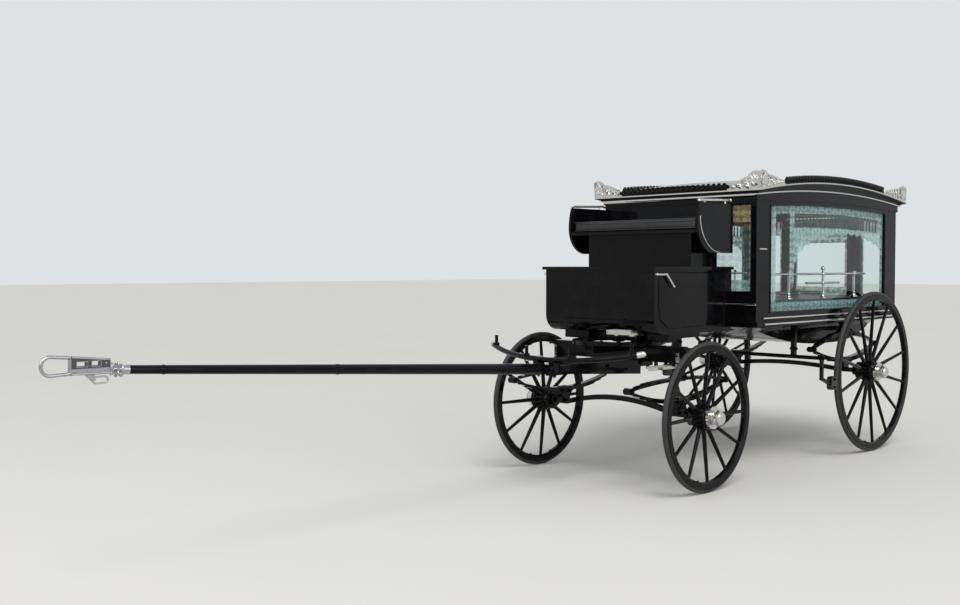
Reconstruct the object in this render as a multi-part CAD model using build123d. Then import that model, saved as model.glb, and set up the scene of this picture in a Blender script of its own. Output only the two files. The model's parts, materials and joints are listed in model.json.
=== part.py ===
from build123d import *
import os
from math import atan2, cos, degrees, radians, sin, sqrt

# A horse-drawn glass hearse with a pair-horse pole, at its real size in millimetres.
# X points forward along the pole, Y to the near (left) side, Z up from the ground.
# Every piece is drawn with X = 0 over the rear axle and moved at the end,
# so that the origin lies on the ground under the middle of the whole vehicle.
os.makedirs("parts", exist_ok=True)

# Running gear
REAR_RADIUS = 610
FRONT_RADIUS = 472.5
WHEELBASE = 2226
REAR_TRACK_HALF = 720
FRONT_TRACK_HALF = 700
REAR_SPOKES = 14
FRONT_SPOKES = 12
TYRE_WIDTH = 34
TYRE_DEPTH = 22
FELLOE_WIDTH = 42
FELLOE_DEPTH = 46
SPOKE_ROOT_RADIUS = 15
SPOKE_TIP_RADIUS = 10.5
SPOKE_ENTRY = 12
DISH = 32
NAVE_RADIUS = 76
NAVE_END_RADIUS = 56
NAVE_INNER_REACH = 92
NAVE_OUTER_REACH = 62
CAP_RING_RADIUS = 70
CAP_RING_WIDTH = 16
CAP_RADIUS = 40
CAP_LENGTH = 62
CAP_WALL = 9

# Axles
ARM_RADIUS = 24
ARM_CLEARANCE = 0.05
AXLE_SECTION = 34
COLLAR_RADIUS = 38
COLLAR_WIDTH = 26
WHEEL_SIDE_GAP = 5
ARCH_MARGIN = 20
REAR_AXLE_RISE = 27
FRONT_AXLE_RISE = 62

# Elliptic springs
SPRING_Y = 480
SPRING_WIDTH = 46
LEAF = 7
EYE_RADIUS = 21
REAR_EYE_Z = 790
REAR_HALF_SPAN = 510
REAR_UPPER_OPEN = 80
REAR_LOWER_OPEN = 86
REAR_UPPER_LEAVES = 5
REAR_LOWER_LEAVES = 5
FRONT_EYE_Z = 655
FRONT_HALF_SPAN = 518
FRONT_UPPER_OPEN = 32
FRONT_LOWER_OPEN = 82
FRONT_UPPER_LEAVES = 3
FRONT_LOWER_LEAVES = 4
SPRING_PAD = 80
LEAF_SHORTENING = 0.14
CLIP_PROUD = 5

# Coach
COACH_REAR = -540
COACH_FRONT = 1570
COACH_HALF_WIDTH = 640
WALL = 40
SILL_BOTTOM = 1000
SILL_TOP = 1040
SILL_OVERHANG = 12
DECK_TOP = 1175
DECK_MARGIN = 20
GLASS = 6
SIDE_WINDOW_REAR = -340
SIDE_WINDOW_FRONT = 1390
SIDE_WINDOW_BOTTOM = 1100
SIDE_WINDOW_TOP = 1850
SIDE_WINDOW_RISE = 35
FRONT_WINDOW_BOTTOM = 1240
FRONT_WINDOW_TOP = 1830
DOOR_GAP = 6
DOOR_THICK = 30
DOOR_STILE = 85
DOOR_HALF_WIDTH = 330
DOOR_POST = 24
DOOR_BOTTOM = 1070
DOOR_TOP = 1820
DOOR_HINGE_OUT = 12
SIDE_LIGHT_BOTTOM = 1110
SIDE_LIGHT_TOP = 1800

# Roof: each band is named with its overhang past the coach, and its top arch at mid length and its rise
WALL_HEAD = 1875
WALL_HEAD_RISE = 30
CORNICE_BANDS = [
    ("frieze", 10, 1945, 52),
    ("fillet", 18, 1955, 56),
    ("cove_low", 24, 1968, 62),
    ("cove_middle", 32, 1982, 69),
    ("cove_high", 43, 1994, 76),
    ("crown", 56, 2012, 80),
]
CORNICE_HOLLOW_DROP = 100
CORNICE_HOLLOW_RISE = 10
ROOF_SKIN = 14
ROOF_CAMBER = 34
CREST_HEIGHT = 52
CREST_THICK = 10
CREST_TOOTH = 42
ORNAMENT_THICK = 8
ORNAMENT_HEIGHT = 122
FRONT_WING = 335
REAR_WING = 395
END_WING = 250

# Underbody: a boat-shaped belly, drawn by its keel line and its cross-section
BOAT_HALF_WIDTH = 430
BOAT_BOTTOM_HALF_WIDTH = 375
BOAT_BOTTOM = 815
BOAT_SHOULDER = 950
BOAT_REAR = -500
BOAT_REAR_Z = 920
BOAT_KEEL_REAR = -100
BOAT_KEEL_FRONT = 100
BOAT_FRONT = 1180
FLARE_FRONT = 1400
FLARE_INSET = 20

# Boot and driver's seat
BOOT_FRONT = 2450
BOOT_HALF_WIDTH = 450
BOOT_BOTTOM = 980
FOOTBOARD_TOP = 1410
FOOTBOARD_THICK = 20
FOOTBOARD_OVERHANG = 18
BOOT_NOSE_RADIUS = 110
STEP_Y = [134, 322]
STEP_REACH = 95
STEP_THICK = 28
STEP_Z = 1008
STEP_IRON = 12
STEP_TREAD_AHEAD = [199, 364]
STEP_TREAD_Y = [486, 580]
STEP_TREAD_TOP = 797
STEP_TREAD_THICK = 14
HANDLE_Z = 1362
HANDLE_ROD = 8
HANDLE_REACH = 98
HANDLE_DROP = 110
SEAT_REAR = 1700
SEAT_FRONT = 2110
SEAT_HALF_WIDTH = 520
SEAT_BOARD_TOP = 1650
SEAT_BOARD_THICK = 22
SEAT_END_THICK = 20
SEAT_END_RISE = 174
SEAT_END_DROP = 150
SEAT_END_TOP = SEAT_BOARD_TOP + SEAT_END_RISE
SEAT_END_BOTTOM = SEAT_BOARD_TOP - SEAT_END_DROP
SEAT_END_TOE = 150
SEAT_END_BULGE = 24
SEAT_BACK_THICK = 18
SEAT_BOX_INSET = 90
CUSHION_HEIGHT = 90
SOFT_GAP = 0.3
RAIL_RADIUS = 9

# Turntable and pole
BED_TOP = 900
BED_DEPTH = 103
BED_HALF_LENGTH = 45
BED_OVERHANG = 40
LONG_BEAM_Y = 200
LONG_BEAM_HALF_WIDTH = 25
RING_RADIUS = 310
RING_WIDTH = 50
RING_THICK = 12
RING_GAP = 0.3
BOSS_RADIUS = 40
PERCH_HALF_WIDTH = 35
PERCH_DEPTH = 50
NECK_IRON_Y = 365
NECK_IRON_WIDTH = 50
NECK_IRON_THICK = 10
NECK_IRON_LAP = 130
KINGPIN_RADIUS = 16
FUTCHELL_GAP = 90
FUTCHELL_WIDTH = 40
FUTCHELL_DEPTH = 56
FUTCHELL_REAR = 1960
FUTCHELL_FRONT = 3010
SPLINTER_X = 2950
SPLINTER_RADIUS = 17
SPLINTER_Z = 832
SPLINTER_HALF_WIDTH = 620
SPLINTER_SWEEP = 160
SPLINTER_LIFT = 60
PIN_ROWS = [180, 560]
PIN_RADIUS = 11
PIN_LENGTH = 50
PIN_FLANGE = 9
PIN_FLANGE_LIFT = 8
CAP_SLEEVE = 34
CAP_PROUD = 2
POLE_SLOPE = 3.77
POLE_Z_AT_SPLINTER = 775
POLE_ROOT_X = 2040
POLE_ROOT_DEPTH = 60
POLE_ROOT_END = 3010
POLE_TIP_X = 5720
POLE_BASE_RADIUS = 34
POLE_TIP_RADIUS = 20
LOOP_CENTRE = (6061, 992)
LOOP_RADIUS = 40
CRAB_ROD = 8
CRAB_THICK = 26

# Brake
BRAKE_X = 812
BRAKE_Z = 757
BRAKE_SHAFT_RADIUS = 14
BRAKE_BLOCK_GAP = 10
BRAKE_BLOCK_Z = 568
BRAKE_BLOCK_HALF_HEIGHT = 48
BRAKE_BLOCK_LENGTH = 78
BRAKE_HANGER_Y = 500
BRAKE_HANGER_HALF_LENGTH = 18
BRAKE_HANGER_HALF_WIDTH = 15
BRAKE_ARM = 26
BRAKE_ARM_HALF_WIDTH = 10
BRAKE_BOSS_RADIUS = 24

COACH_MID = (COACH_REAR + COACH_FRONT) / 2
COACH_HALF_LENGTH = (COACH_FRONT - COACH_REAR) / 2
REAR_END_X = min(-REAR_RADIUS, COACH_REAR - CORNICE_BANDS[-1][1])
FRONT_END_X = LOOP_CENTRE[0] + LOOP_RADIUS + CRAB_ROD
CENTRE_X = (REAR_END_X + FRONT_END_X) / 2


def save(shape, name):
    """Write one named piece, moved so that the origin is under the middle of the vehicle."""
    placed = Pos(-CENTRE_X, 0, 0) * shape
    placed.label = name
    export_step(placed, f"parts/{name}.step")


def block(x0, x1, y0, y1, z0, z1):
    """A box between six limits."""
    middle = ((x0 + x1) / 2, (y0 + y1) / 2, (z0 + z1) / 2)
    return Pos(*middle) * Box(x1 - x0, y1 - y0, z1 - z0)


def side_profile(edges, y0, y1):
    """Extrude an outline drawn in X and Z from y0 to y1."""
    face = Plane.XZ * make_face(edges)
    return Pos(0, y1, 0) * extrude(face, y1 - y0)


def cross_profile(edges, x0, x1):
    """Extrude an outline drawn in Y and Z from x0 to x1."""
    face = Plane.YZ * make_face(edges)
    return Pos(x0, 0, 0) * extrude(face, x1 - x0)


def rod_y(x, z, radius, y0, y1):
    """A round rod lying across the vehicle."""
    return Pos(x, (y0 + y1) / 2, z) * Rot(90, 0, 0) * Cylinder(radius, y1 - y0)


def rod_x(y, z, radius, x0, x1):
    """A round rod lying along the vehicle."""
    return Pos((x0 + x1) / 2, y, z) * Rot(0, 90, 0) * Cylinder(radius, x1 - x0)


def post_z(x, y, radius, z0, z1):
    """An upright round rod."""
    return Pos(x, y, (z0 + z1) / 2) * Cylinder(radius, z1 - z0)


def both_sides(shape):
    """A piece on the near side and its mirror image on the off side."""
    return Compound(children=[shape, mirror(shape, Plane.XZ)])


def fused(shapes):
    """One solid from pieces that meet."""
    whole = shapes[0]
    for piece in shapes[1:]:
        whole = whole + piece
    return whole


# Arches that cross the coach from end to end
def arch_z(x, crown, rise):
    """Height at x of an arc that falls by rise from the middle of the coach to its ends."""
    radius = (COACH_HALF_LENGTH**2 + rise**2) / (2 * rise)
    return crown - radius + sqrt(radius**2 - (x - COACH_MID) ** 2)


def arch_edge(x0, x1, crown, rise):
    """The stretch of that arc between x0 and x1."""
    middle = (x0 + x1) / 2
    ends = [(x, arch_z(x, crown, rise)) for x in (x0, middle, x1)]
    return ThreePointArc(*ends)


def arch_panel(x0, x1, bottom, crown, rise):
    """An outline with a level bottom, upright ends and an arched top."""
    return [
        Polyline(
            (x0, arch_z(x0, crown, rise)),
            (x0, bottom),
            (x1, bottom),
            (x1, arch_z(x1, crown, rise)),
        ),
        arch_edge(x0, x1, crown, rise),
    ]


def arch_band(x0, x1, low, high):
    """An outline between two arches, each given by its crown and its rise."""
    return [
        arch_edge(x0, x1, *low),
        arch_edge(x0, x1, *high),
        Line((x0, arch_z(x0, *low)), (x0, arch_z(x0, *high))),
        Line((x1, arch_z(x1, *low)), (x1, arch_z(x1, *high))),
    ]


# Coach body
FRAME_REAR = COACH_REAR + WALL
FRAME_FRONT = COACH_FRONT - WALL
INNER_HALF_WIDTH = COACH_HALF_WIDTH - WALL
GLASS_Y = COACH_HALF_WIDTH - WALL / 2


def side_window():
    """Outline of a side window."""
    return arch_panel(
        SIDE_WINDOW_REAR, SIDE_WINDOW_FRONT, SIDE_WINDOW_BOTTOM, SIDE_WINDOW_TOP, SIDE_WINDOW_RISE
    )


def make_side_frame():
    """Near side wall with its broad end pillars and one large arched window."""
    wall = side_profile(
        arch_panel(FRAME_REAR, FRAME_FRONT, SILL_TOP, WALL_HEAD, WALL_HEAD_RISE),
        INNER_HALF_WIDTH,
        COACH_HALF_WIDTH,
    )
    return wall - side_profile(side_window(), INNER_HALF_WIDTH - 1, COACH_HALF_WIDTH + 1)


def make_side_glass():
    """Near side pane, as large as its window."""
    return side_profile(side_window(), GLASS_Y - GLASS / 2, GLASS_Y + GLASS / 2)


def make_end_wall(x0, x1):
    """A wall right across one end of the coach, under the arch."""
    outline = arch_panel(x0, x1, SILL_TOP, WALL_HEAD, WALL_HEAD_RISE)
    return side_profile(outline, -COACH_HALF_WIDTH, COACH_HALF_WIDTH)


def make_front_frame():
    """Front wall with a wide window."""
    window = block(
        FRAME_FRONT - 1, COACH_FRONT + 1, -INNER_HALF_WIDTH, INNER_HALF_WIDTH,
        FRONT_WINDOW_BOTTOM, FRONT_WINDOW_TOP,
    )
    return make_end_wall(FRAME_FRONT, COACH_FRONT) - window


def make_front_glass():
    """Front pane."""
    middle = COACH_FRONT - WALL / 2
    return block(
        middle - GLASS / 2, middle + GLASS / 2, -INNER_HALF_WIDTH, INNER_HALF_WIDTH,
        FRONT_WINDOW_BOTTOM, FRONT_WINDOW_TOP,
    )


SIDE_LIGHT_INNER = DOOR_HALF_WIDTH + DOOR_POST


def side_light(x0, x1):
    """Near side light of the rear wall, between the door post and the corner pillar."""
    return block(x0, x1, SIDE_LIGHT_INNER, INNER_HALF_WIDTH, SIDE_LIGHT_BOTTOM, SIDE_LIGHT_TOP)


def make_rear_frame():
    """Rear wall with the opening of the loading door and a side light on each side of it."""
    opening = block(
        COACH_REAR - 1, FRAME_REAR + 1, -DOOR_HALF_WIDTH, DOOR_HALF_WIDTH, DOOR_BOTTOM, DOOR_TOP
    )
    light = side_light(COACH_REAR - 1, FRAME_REAR + 1)
    return make_end_wall(COACH_REAR, FRAME_REAR) - opening - light - mirror(light, Plane.XZ)


def make_side_light():
    """Near fixed pane beside the rear door."""
    middle = COACH_REAR + WALL / 2
    return side_light(middle - GLASS / 2, middle + GLASS / 2)


# Rear door
DOOR_Y = DOOR_HALF_WIDTH - DOOR_GAP
DOOR_Z0 = DOOR_BOTTOM + DOOR_GAP
DOOR_Z1 = DOOR_TOP - DOOR_GAP
DOOR_FRONT = COACH_REAR + DOOR_THICK
HINGE_X = COACH_REAR - DOOR_HINGE_OUT
HINGE_Y = -DOOR_HALF_WIDTH


def make_door_frame():
    """Door with two stiles, two rails and a window."""
    leaf = block(COACH_REAR, DOOR_FRONT, -DOOR_Y, DOOR_Y, DOOR_Z0, DOOR_Z1)
    window = block(
        COACH_REAR - 1, DOOR_FRONT + 1, DOOR_STILE - DOOR_Y, DOOR_Y - DOOR_STILE,
        DOOR_Z0 + DOOR_STILE, DOOR_Z1 - DOOR_STILE,
    )
    return leaf - window


def make_door_glass():
    """Pane of the rear door."""
    middle = COACH_REAR + DOOR_THICK / 2
    return block(
        middle - GLASS / 2, middle + GLASS / 2, DOOR_STILE - DOOR_Y, DOOR_Y - DOOR_STILE,
        DOOR_Z0 + DOOR_STILE, DOOR_Z1 - DOOR_STILE,
    )


HINGE_INSET = 110
HINGE_HEIGHTS = [DOOR_BOTTOM + HINGE_INSET, (DOOR_BOTTOM + DOOR_TOP) / 2, DOOR_TOP - HINGE_INSET]
HINGE_KNUCKLE = 34
HINGE_LEAF = 48
HINGE_PLATE = 4
HINGE_RADIUS = 8
HINGE_PIN_RADIUS = 4


def make_hinge_posts():
    """Fixed lower knuckles with their pins, on the off side of the door opening."""
    pieces = []
    for z in HINGE_HEIGHTS:
        knuckle = post_z(HINGE_X, HINGE_Y, HINGE_RADIUS, z - HINGE_KNUCKLE, z)
        pin = post_z(HINGE_X, HINGE_Y, HINGE_PIN_RADIUS, z, z + HINGE_KNUCKLE)
        plate = block(
            COACH_REAR - HINGE_PLATE, COACH_REAR, HINGE_Y - HINGE_LEAF, HINGE_Y - 4,
            z - HINGE_KNUCKLE, z,
        )
        web = block(HINGE_X, COACH_REAR, HINGE_Y - 7, HINGE_Y - 4, z - HINGE_KNUCKLE, z)
        pieces.append(fused([knuckle, pin, plate, web]))
    return Compound(children=pieces)


def make_door_hinges():
    """Upper knuckles that turn with the door."""
    pieces = []
    for z in HINGE_HEIGHTS:
        low = z + RING_GAP
        high = z + HINGE_KNUCKLE
        knuckle = post_z(HINGE_X, HINGE_Y, HINGE_RADIUS, low, high)
        plate = block(COACH_REAR - HINGE_PLATE, COACH_REAR, -DOOR_Y, HINGE_Y + HINGE_LEAF, low, high)
        web = block(HINGE_X, COACH_REAR - HINGE_PLATE, HINGE_Y + 4, HINGE_Y + 9, low, high)
        bore = post_z(HINGE_X, HINGE_Y, HINGE_PIN_RADIUS + ARM_CLEARANCE, low - 1, high + 1)
        pieces.append(fused([knuckle, plate, web]) - bore)
    return Compound(children=pieces)


def make_door_handle():
    """Turned handle on the near stile of the door."""
    y = DOOR_Y - DOOR_STILE / 2
    z = (DOOR_BOTTOM + DOOR_TOP) / 2
    plate = rod_x(y, z, 20, COACH_REAR - 5, COACH_REAR)
    stem = rod_x(y, z, 8, COACH_REAR - 40, COACH_REAR - 5)
    grip = rod_y(COACH_REAR - 40, z, 9, y - 60, y + 12)
    return fused([plate, stem, grip])


# Roof
def make_cornice():
    """Hollow arched cornice of stepped bands, widest at the top."""
    pieces = []
    low = (WALL_HEAD, WALL_HEAD_RISE)
    for _, overhang, crown, rise in CORNICE_BANDS:
        half_width = COACH_HALF_WIDTH + overhang
        outline = arch_band(COACH_REAR - overhang, COACH_FRONT + overhang, low, (crown, rise))
        pieces.append(side_profile(outline, -half_width, half_width))
        low = (crown, rise)
    hollow = block(
        FRAME_REAR, FRAME_FRONT, -INNER_HALF_WIDTH, INNER_HALF_WIDTH,
        WALL_HEAD - CORNICE_HOLLOW_DROP, low[0] + CORNICE_HOLLOW_RISE,
    )
    return fused(pieces) - hollow


def make_roof_panel():
    """Roof skin inside the crest, arched along the coach and cambered across it."""
    _, overhang, crown, rise = CORNICE_BANDS[-1]
    inset = overhang - CREST_THICK
    half_width = COACH_HALF_WIDTH + inset
    path = Plane.XZ * arch_edge(COACH_REAR - inset, COACH_FRONT + inset, crown, rise)
    section = make_face(
        [
            Polyline((-half_width, ROOF_SKIN), (-half_width, 0), (half_width, 0), (half_width, ROOF_SKIN)),
            ThreePointArc((-half_width, ROOF_SKIN), (0, ROOF_SKIN + ROOF_CAMBER), (half_width, ROOF_SKIN)),
        ]
    )
    skin = sweep(Plane(path @ 0, x_dir=(0, 1, 0), z_dir=path % 0) * section, path)
    below = arch_panel(COACH_REAR - inset, COACH_FRONT + inset, crown - 3 * rise, crown, rise)
    room = block(
        COACH_REAR - inset, COACH_FRONT + inset, -half_width, half_width, crown - 3 * rise, crown + 3 * rise
    )
    return (skin & room) - side_profile(below, -half_width - 1, half_width + 1)


def crown_line():
    """Outer corner of the cornice's crown: rear X, front X and half width."""
    overhang = CORNICE_BANDS[-1][1]
    return COACH_REAR - overhang, COACH_FRONT + overhang, COACH_HALF_WIDTH + overhang


def make_roof_crest():
    """Toothed boards along the edges of the roof, stopped at the corner ornaments."""
    _, _, crown, rise = CORNICE_BANDS[-1]
    x0, x1, half_width = crown_line()
    top = (crown + CREST_HEIGHT, rise)
    boards = side_profile(arch_band(x0, x1, (crown, rise), top), -half_width, half_width)
    low, high = crown - 3 * rise, crown + 3 * rise
    inner = block(
        x0 + CREST_THICK, x1 - CREST_THICK, CREST_THICK - half_width, half_width - CREST_THICK, low, high
    )
    count = round((x1 - x0) / CREST_TOOTH)
    step = (x1 - x0) / count
    cuts = [inner]
    for index in range(1, count):
        x = x0 + index * step
        cuts.append(rod_y(x, arch_z(x, *top), step * 0.3, -half_width - 1, half_width + 1))
    count = round(2 * half_width / CREST_TOOTH)
    step = 2 * half_width / count
    for index in range(1, count):
        y = index * step - half_width
        cuts.append(rod_x(y, arch_z(x0, *top), step * 0.3, x0 - 1, x0 + CREST_THICK + 1))
        cuts.append(rod_x(y, arch_z(x1, *top), step * 0.3, x1 - CREST_THICK - 1, x1 + 1))
    for start, end in ((x0 - 1, x0 + REAR_WING), (x1 - FRONT_WING, x1 + 1)):
        for side in (-1, 1):
            ys = sorted((side * (half_width + 1), side * (half_width - END_WING)))
            cuts.append(block(start, end, *ys, low, high))
    return boards - cuts


# Rings of one ornament wing: share of its length, then height of the centre and outer radius
# as shares of its height
WING_RINGS = [
    (0.17, 0.50, 0.46),
    (0.45, 0.36, 0.30),
    (0.67, 0.27, 0.22),
    (0.85, 0.19, 0.15),
]
RING_BAND = 0.34
WING_BASE = 11
WING_EYE = 0.3


def ornament_wing(length, height):
    """Face of one pierced scroll wing that falls from the corner at x = 0 to its tip."""
    wing = Pos(length / 2, WING_BASE / 2) * Rectangle(length, WING_BASE)
    post = Pos(WING_BASE / 2, height * 0.45) * Rectangle(WING_BASE, height * 0.9)
    wing = wing + post
    brow = make_face(
        [
            ThreePointArc((0, height * 0.9), (length * 0.17, height), (length * 0.36, height * 0.72)),
            ThreePointArc((length * 0.36, height * 0.72), (length * 0.66, height * 0.5), (length, 0)),
            ThreePointArc((length, 0), (length * 0.64, height * 0.41), (length * 0.36, height * 0.62)),
            ThreePointArc((length * 0.36, height * 0.62), (length * 0.17, height * 0.89), (0, height * 0.8)),
            Line((0, height * 0.8), (0, height * 0.9)),
        ]
    )
    wing = wing + brow
    for share, lift, size in WING_RINGS:
        radius = size * height
        place = Pos(share * length, lift * height)
        wing = wing + place * (Circle(radius) - Circle(radius * (1 - RING_BAND)))
        wing = wing + place * Circle(radius * WING_EYE)
        wing = wing + place * Rectangle(radius * 0.16, 2 * radius * 0.9)
    frame = Pos(length / 2, height / 2) * Rectangle(length, height)
    return wing & frame


def corner_ornament(front):
    """Near corner ornament: two wings that meet upright over a corner of the cornice."""
    _, _, crown, rise = CORNICE_BANDS[-1]
    x0, x1, half_width = crown_line()
    x, away, length = (x1, -1, FRONT_WING) if front else (x0, 1, REAR_WING)
    foot = arch_z(x, crown, rise)
    tilt = degrees(atan2(arch_z(x + away * length, crown, rise) - foot, length))
    side = extrude(Rot(90, 0, 0) * ornament_wing(length, ORNAMENT_HEIGHT), ORNAMENT_THICK)
    side = Rot(0, -tilt, 0) * side
    end = extrude(Rot(90, 0, 0) * ornament_wing(END_WING, ORNAMENT_HEIGHT), ORNAMENT_THICK)
    end = Pos(0, 0, 0) * Rot(0, 0, -90) * end
    if front:
        side = mirror(side, Plane.YZ)
        end = mirror(end, Plane.YZ)
    side_low = min(side.bounding_box().min.Y, side.bounding_box().max.Y)
    side = Pos(x, half_width - ORNAMENT_THICK - side_low, foot) * side
    end_box = end.bounding_box()
    end_x = x - ORNAMENT_THICK - end_box.min.X if front else x - end_box.min.X
    end = Pos(end_x, half_width, foot) * end
    return side + end


def make_roof_ornaments(cornice):
    """Silver pierced scroll ornaments on the four corners of the cornice."""
    near = [corner_ornament(True) - cornice, corner_ornament(False) - cornice]
    return Compound(children=near + [mirror(piece, Plane.XZ) for piece in near])


# Underbody
def make_underbody():
    """Boat-shaped belly: the keel line drawn from the side, cut to the flared cross-section."""
    flare_half = COACH_HALF_WIDTH - FLARE_INSET
    keel = side_profile(
        [
            Line((COACH_REAR, SILL_BOTTOM), (BOAT_REAR, BOAT_REAR_Z)),
            TangentArc((BOAT_KEEL_REAR, BOAT_BOTTOM), (BOAT_REAR, BOAT_REAR_Z), tangent=(-1, 0)),
            Line((BOAT_KEEL_REAR, BOAT_BOTTOM), (BOAT_KEEL_FRONT, BOAT_BOTTOM)),
            TangentArc((BOAT_KEEL_FRONT, BOAT_BOTTOM), (BOAT_FRONT, BOAT_SHOULDER), tangent=(1, 0)),
            Polyline((BOAT_FRONT, BOAT_SHOULDER), (FLARE_FRONT, SILL_BOTTOM), (COACH_REAR, SILL_BOTTOM)),
        ],
        -flare_half,
        flare_half,
    )
    pieces = []
    for side in (-1, 1):
        keel_edge = (side * BOAT_BOTTOM_HALF_WIDTH, BOAT_BOTTOM)
        pieces.append(Line(keel_edge, (side * BOAT_HALF_WIDTH, BOAT_SHOULDER)))
        pieces.append(
            TangentArc(
                (side * flare_half, SILL_BOTTOM), (side * BOAT_HALF_WIDTH, BOAT_SHOULDER), tangent=(-side, 0)
            )
        )
    pieces.append(Line((-BOAT_BOTTOM_HALF_WIDTH, BOAT_BOTTOM), (BOAT_BOTTOM_HALF_WIDTH, BOAT_BOTTOM)))
    pieces.append(Line((-flare_half, SILL_BOTTOM), (flare_half, SILL_BOTTOM)))
    return keel & cross_profile(pieces, COACH_REAR, FLARE_FRONT)


def make_sill():
    """Flat floor frame that carries the walls."""
    return block(
        COACH_REAR - SILL_OVERHANG, COACH_FRONT, -COACH_HALF_WIDTH - SILL_OVERHANG,
        COACH_HALF_WIDTH + SILL_OVERHANG, SILL_BOTTOM, SILL_TOP,
    )


def make_deck():
    """Raised deck that carries the coffin."""
    return block(
        FRAME_REAR + DECK_MARGIN, FRAME_FRONT - DECK_MARGIN, DECK_MARGIN - INNER_HALF_WIDTH,
        INNER_HALF_WIDTH - DECK_MARGIN, SILL_TOP, DECK_TOP,
    )


# Silver lines along the body
MOULDING_RADIUS = 7
MOULDING_FRONT = 1480
LOWER_LINE = SILL_TOP - 20
WAIST_LINE = SILL_TOP + 20
FRONT_LINE = 1155
FRONT_BAR_Z = 1888
FRONT_BAR_RADIUS = 12
BEAD_PROUD = 5
BEAD_HEIGHT = 8
PILLAR_HANDLE_X = [1484, 1576]
PILLAR_HANDLE_Z = 1528
PILLAR_HANDLE_OUT = 24
PILLAR_HANDLE_ROD = 6


def cornice_bead(band):
    """Near silver bead along the top edge of one band of the cornice."""
    _, overhang, crown, rise = band
    x0, x1 = COACH_REAR - overhang, COACH_FRONT + overhang
    outline = arch_band(x0, x1, (crown - BEAD_HEIGHT, rise), (crown, rise))
    half_width = COACH_HALF_WIDTH + overhang
    return side_profile(outline, half_width, half_width + BEAD_PROUD)


def pillar_handle():
    """Near handle on the front pillar: a bar on two short posts."""
    y = COACH_HALF_WIDTH + PILLAR_HANDLE_OUT
    x0, x1 = PILLAR_HANDLE_X
    bar = rod_x(y, PILLAR_HANDLE_Z, PILLAR_HANDLE_ROD, x0, x1)
    posts = [
        rod_y(x, PILLAR_HANDLE_Z, PILLAR_HANDLE_ROD - 1, COACH_HALF_WIDTH, y)
        for x in (x0 + 2 * PILLAR_HANDLE_ROD, x1 - 4 * PILLAR_HANDLE_ROD)
    ]
    return fused([bar] + posts)


def make_body_mouldings(cornice, boot):
    """Silver lines on the sides, front and cornice, with the pillar handles."""
    sill_side = COACH_HALF_WIDTH + SILL_OVERHANG
    waist = rod_x(COACH_HALF_WIDTH, WAIST_LINE, MOULDING_RADIUS, FRAME_REAR, MOULDING_FRONT)
    waist = waist - block(FRAME_REAR, COACH_FRONT, 0, COACH_HALF_WIDTH, SILL_TOP, WALL_HEAD)
    lower = rod_x(sill_side, LOWER_LINE, MOULDING_RADIUS, FRAME_REAR, MOULDING_FRONT)
    lower = lower - block(FRAME_REAR, COACH_FRONT, 0, sill_side, SILL_BOTTOM, SILL_TOP)
    front = rod_y(COACH_FRONT, FRONT_LINE, MOULDING_RADIUS, BOOT_HALF_WIDTH, COACH_HALF_WIDTH)
    front = front - block(FRAME_FRONT, COACH_FRONT, 0, COACH_HALF_WIDTH, SILL_TOP, WALL_HEAD)
    fillet, crown = CORNICE_BANDS[1], CORNICE_BANDS[-1]
    near = [waist, lower, front, cornice_bead(fillet), cornice_bead(crown), pillar_handle()]
    frieze_front = COACH_FRONT + CORNICE_BANDS[0][1]
    bar = rod_y(frieze_front, FRONT_BAR_Z, FRONT_BAR_RADIUS, -COACH_HALF_WIDTH, COACH_HALF_WIDTH)
    coach = block(FRAME_REAR, COACH_FRONT, -COACH_HALF_WIDTH, COACH_HALF_WIDTH, 0, WALL_HEAD)
    ends = [bar - cornice - coach]
    for _, overhang, crown_z, rise in (fillet, crown):
        half_width = COACH_HALF_WIDTH + overhang
        for x, out in ((COACH_REAR - overhang, -BEAD_PROUD), (COACH_FRONT + overhang, BEAD_PROUD)):
            z = arch_z(x, crown_z, rise)
            bead = block(*sorted((x, x + out)), -half_width, half_width, z - BEAD_HEIGHT, z)
            ends.append(bead - cornice)
    return Compound(children=near + [mirror(piece, Plane.XZ) for piece in near] + ends)


# Silver fittings inside the coach
BIER_RAIL_Y = 530
BIER_RAIL_Z = 1356
BIER_RAIL_X = [-224, 1490]
BIER_POST_X = [-45, 448, 951]
BIER_RAIL_RADIUS = 8
BIER_POST_RADIUS = 9
BIER_POST_TOP = 1366
BIER_MIDDLE_TOP = 1392
BIER_FOOT_RADIUS = 26
BIER_FOOT_HEIGHT = 30
BIER_BALL_RADIUS = 15
BIER_LOW_BAR_Z = 1290
BIER_LOW_BAR_REACH = 254


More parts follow.
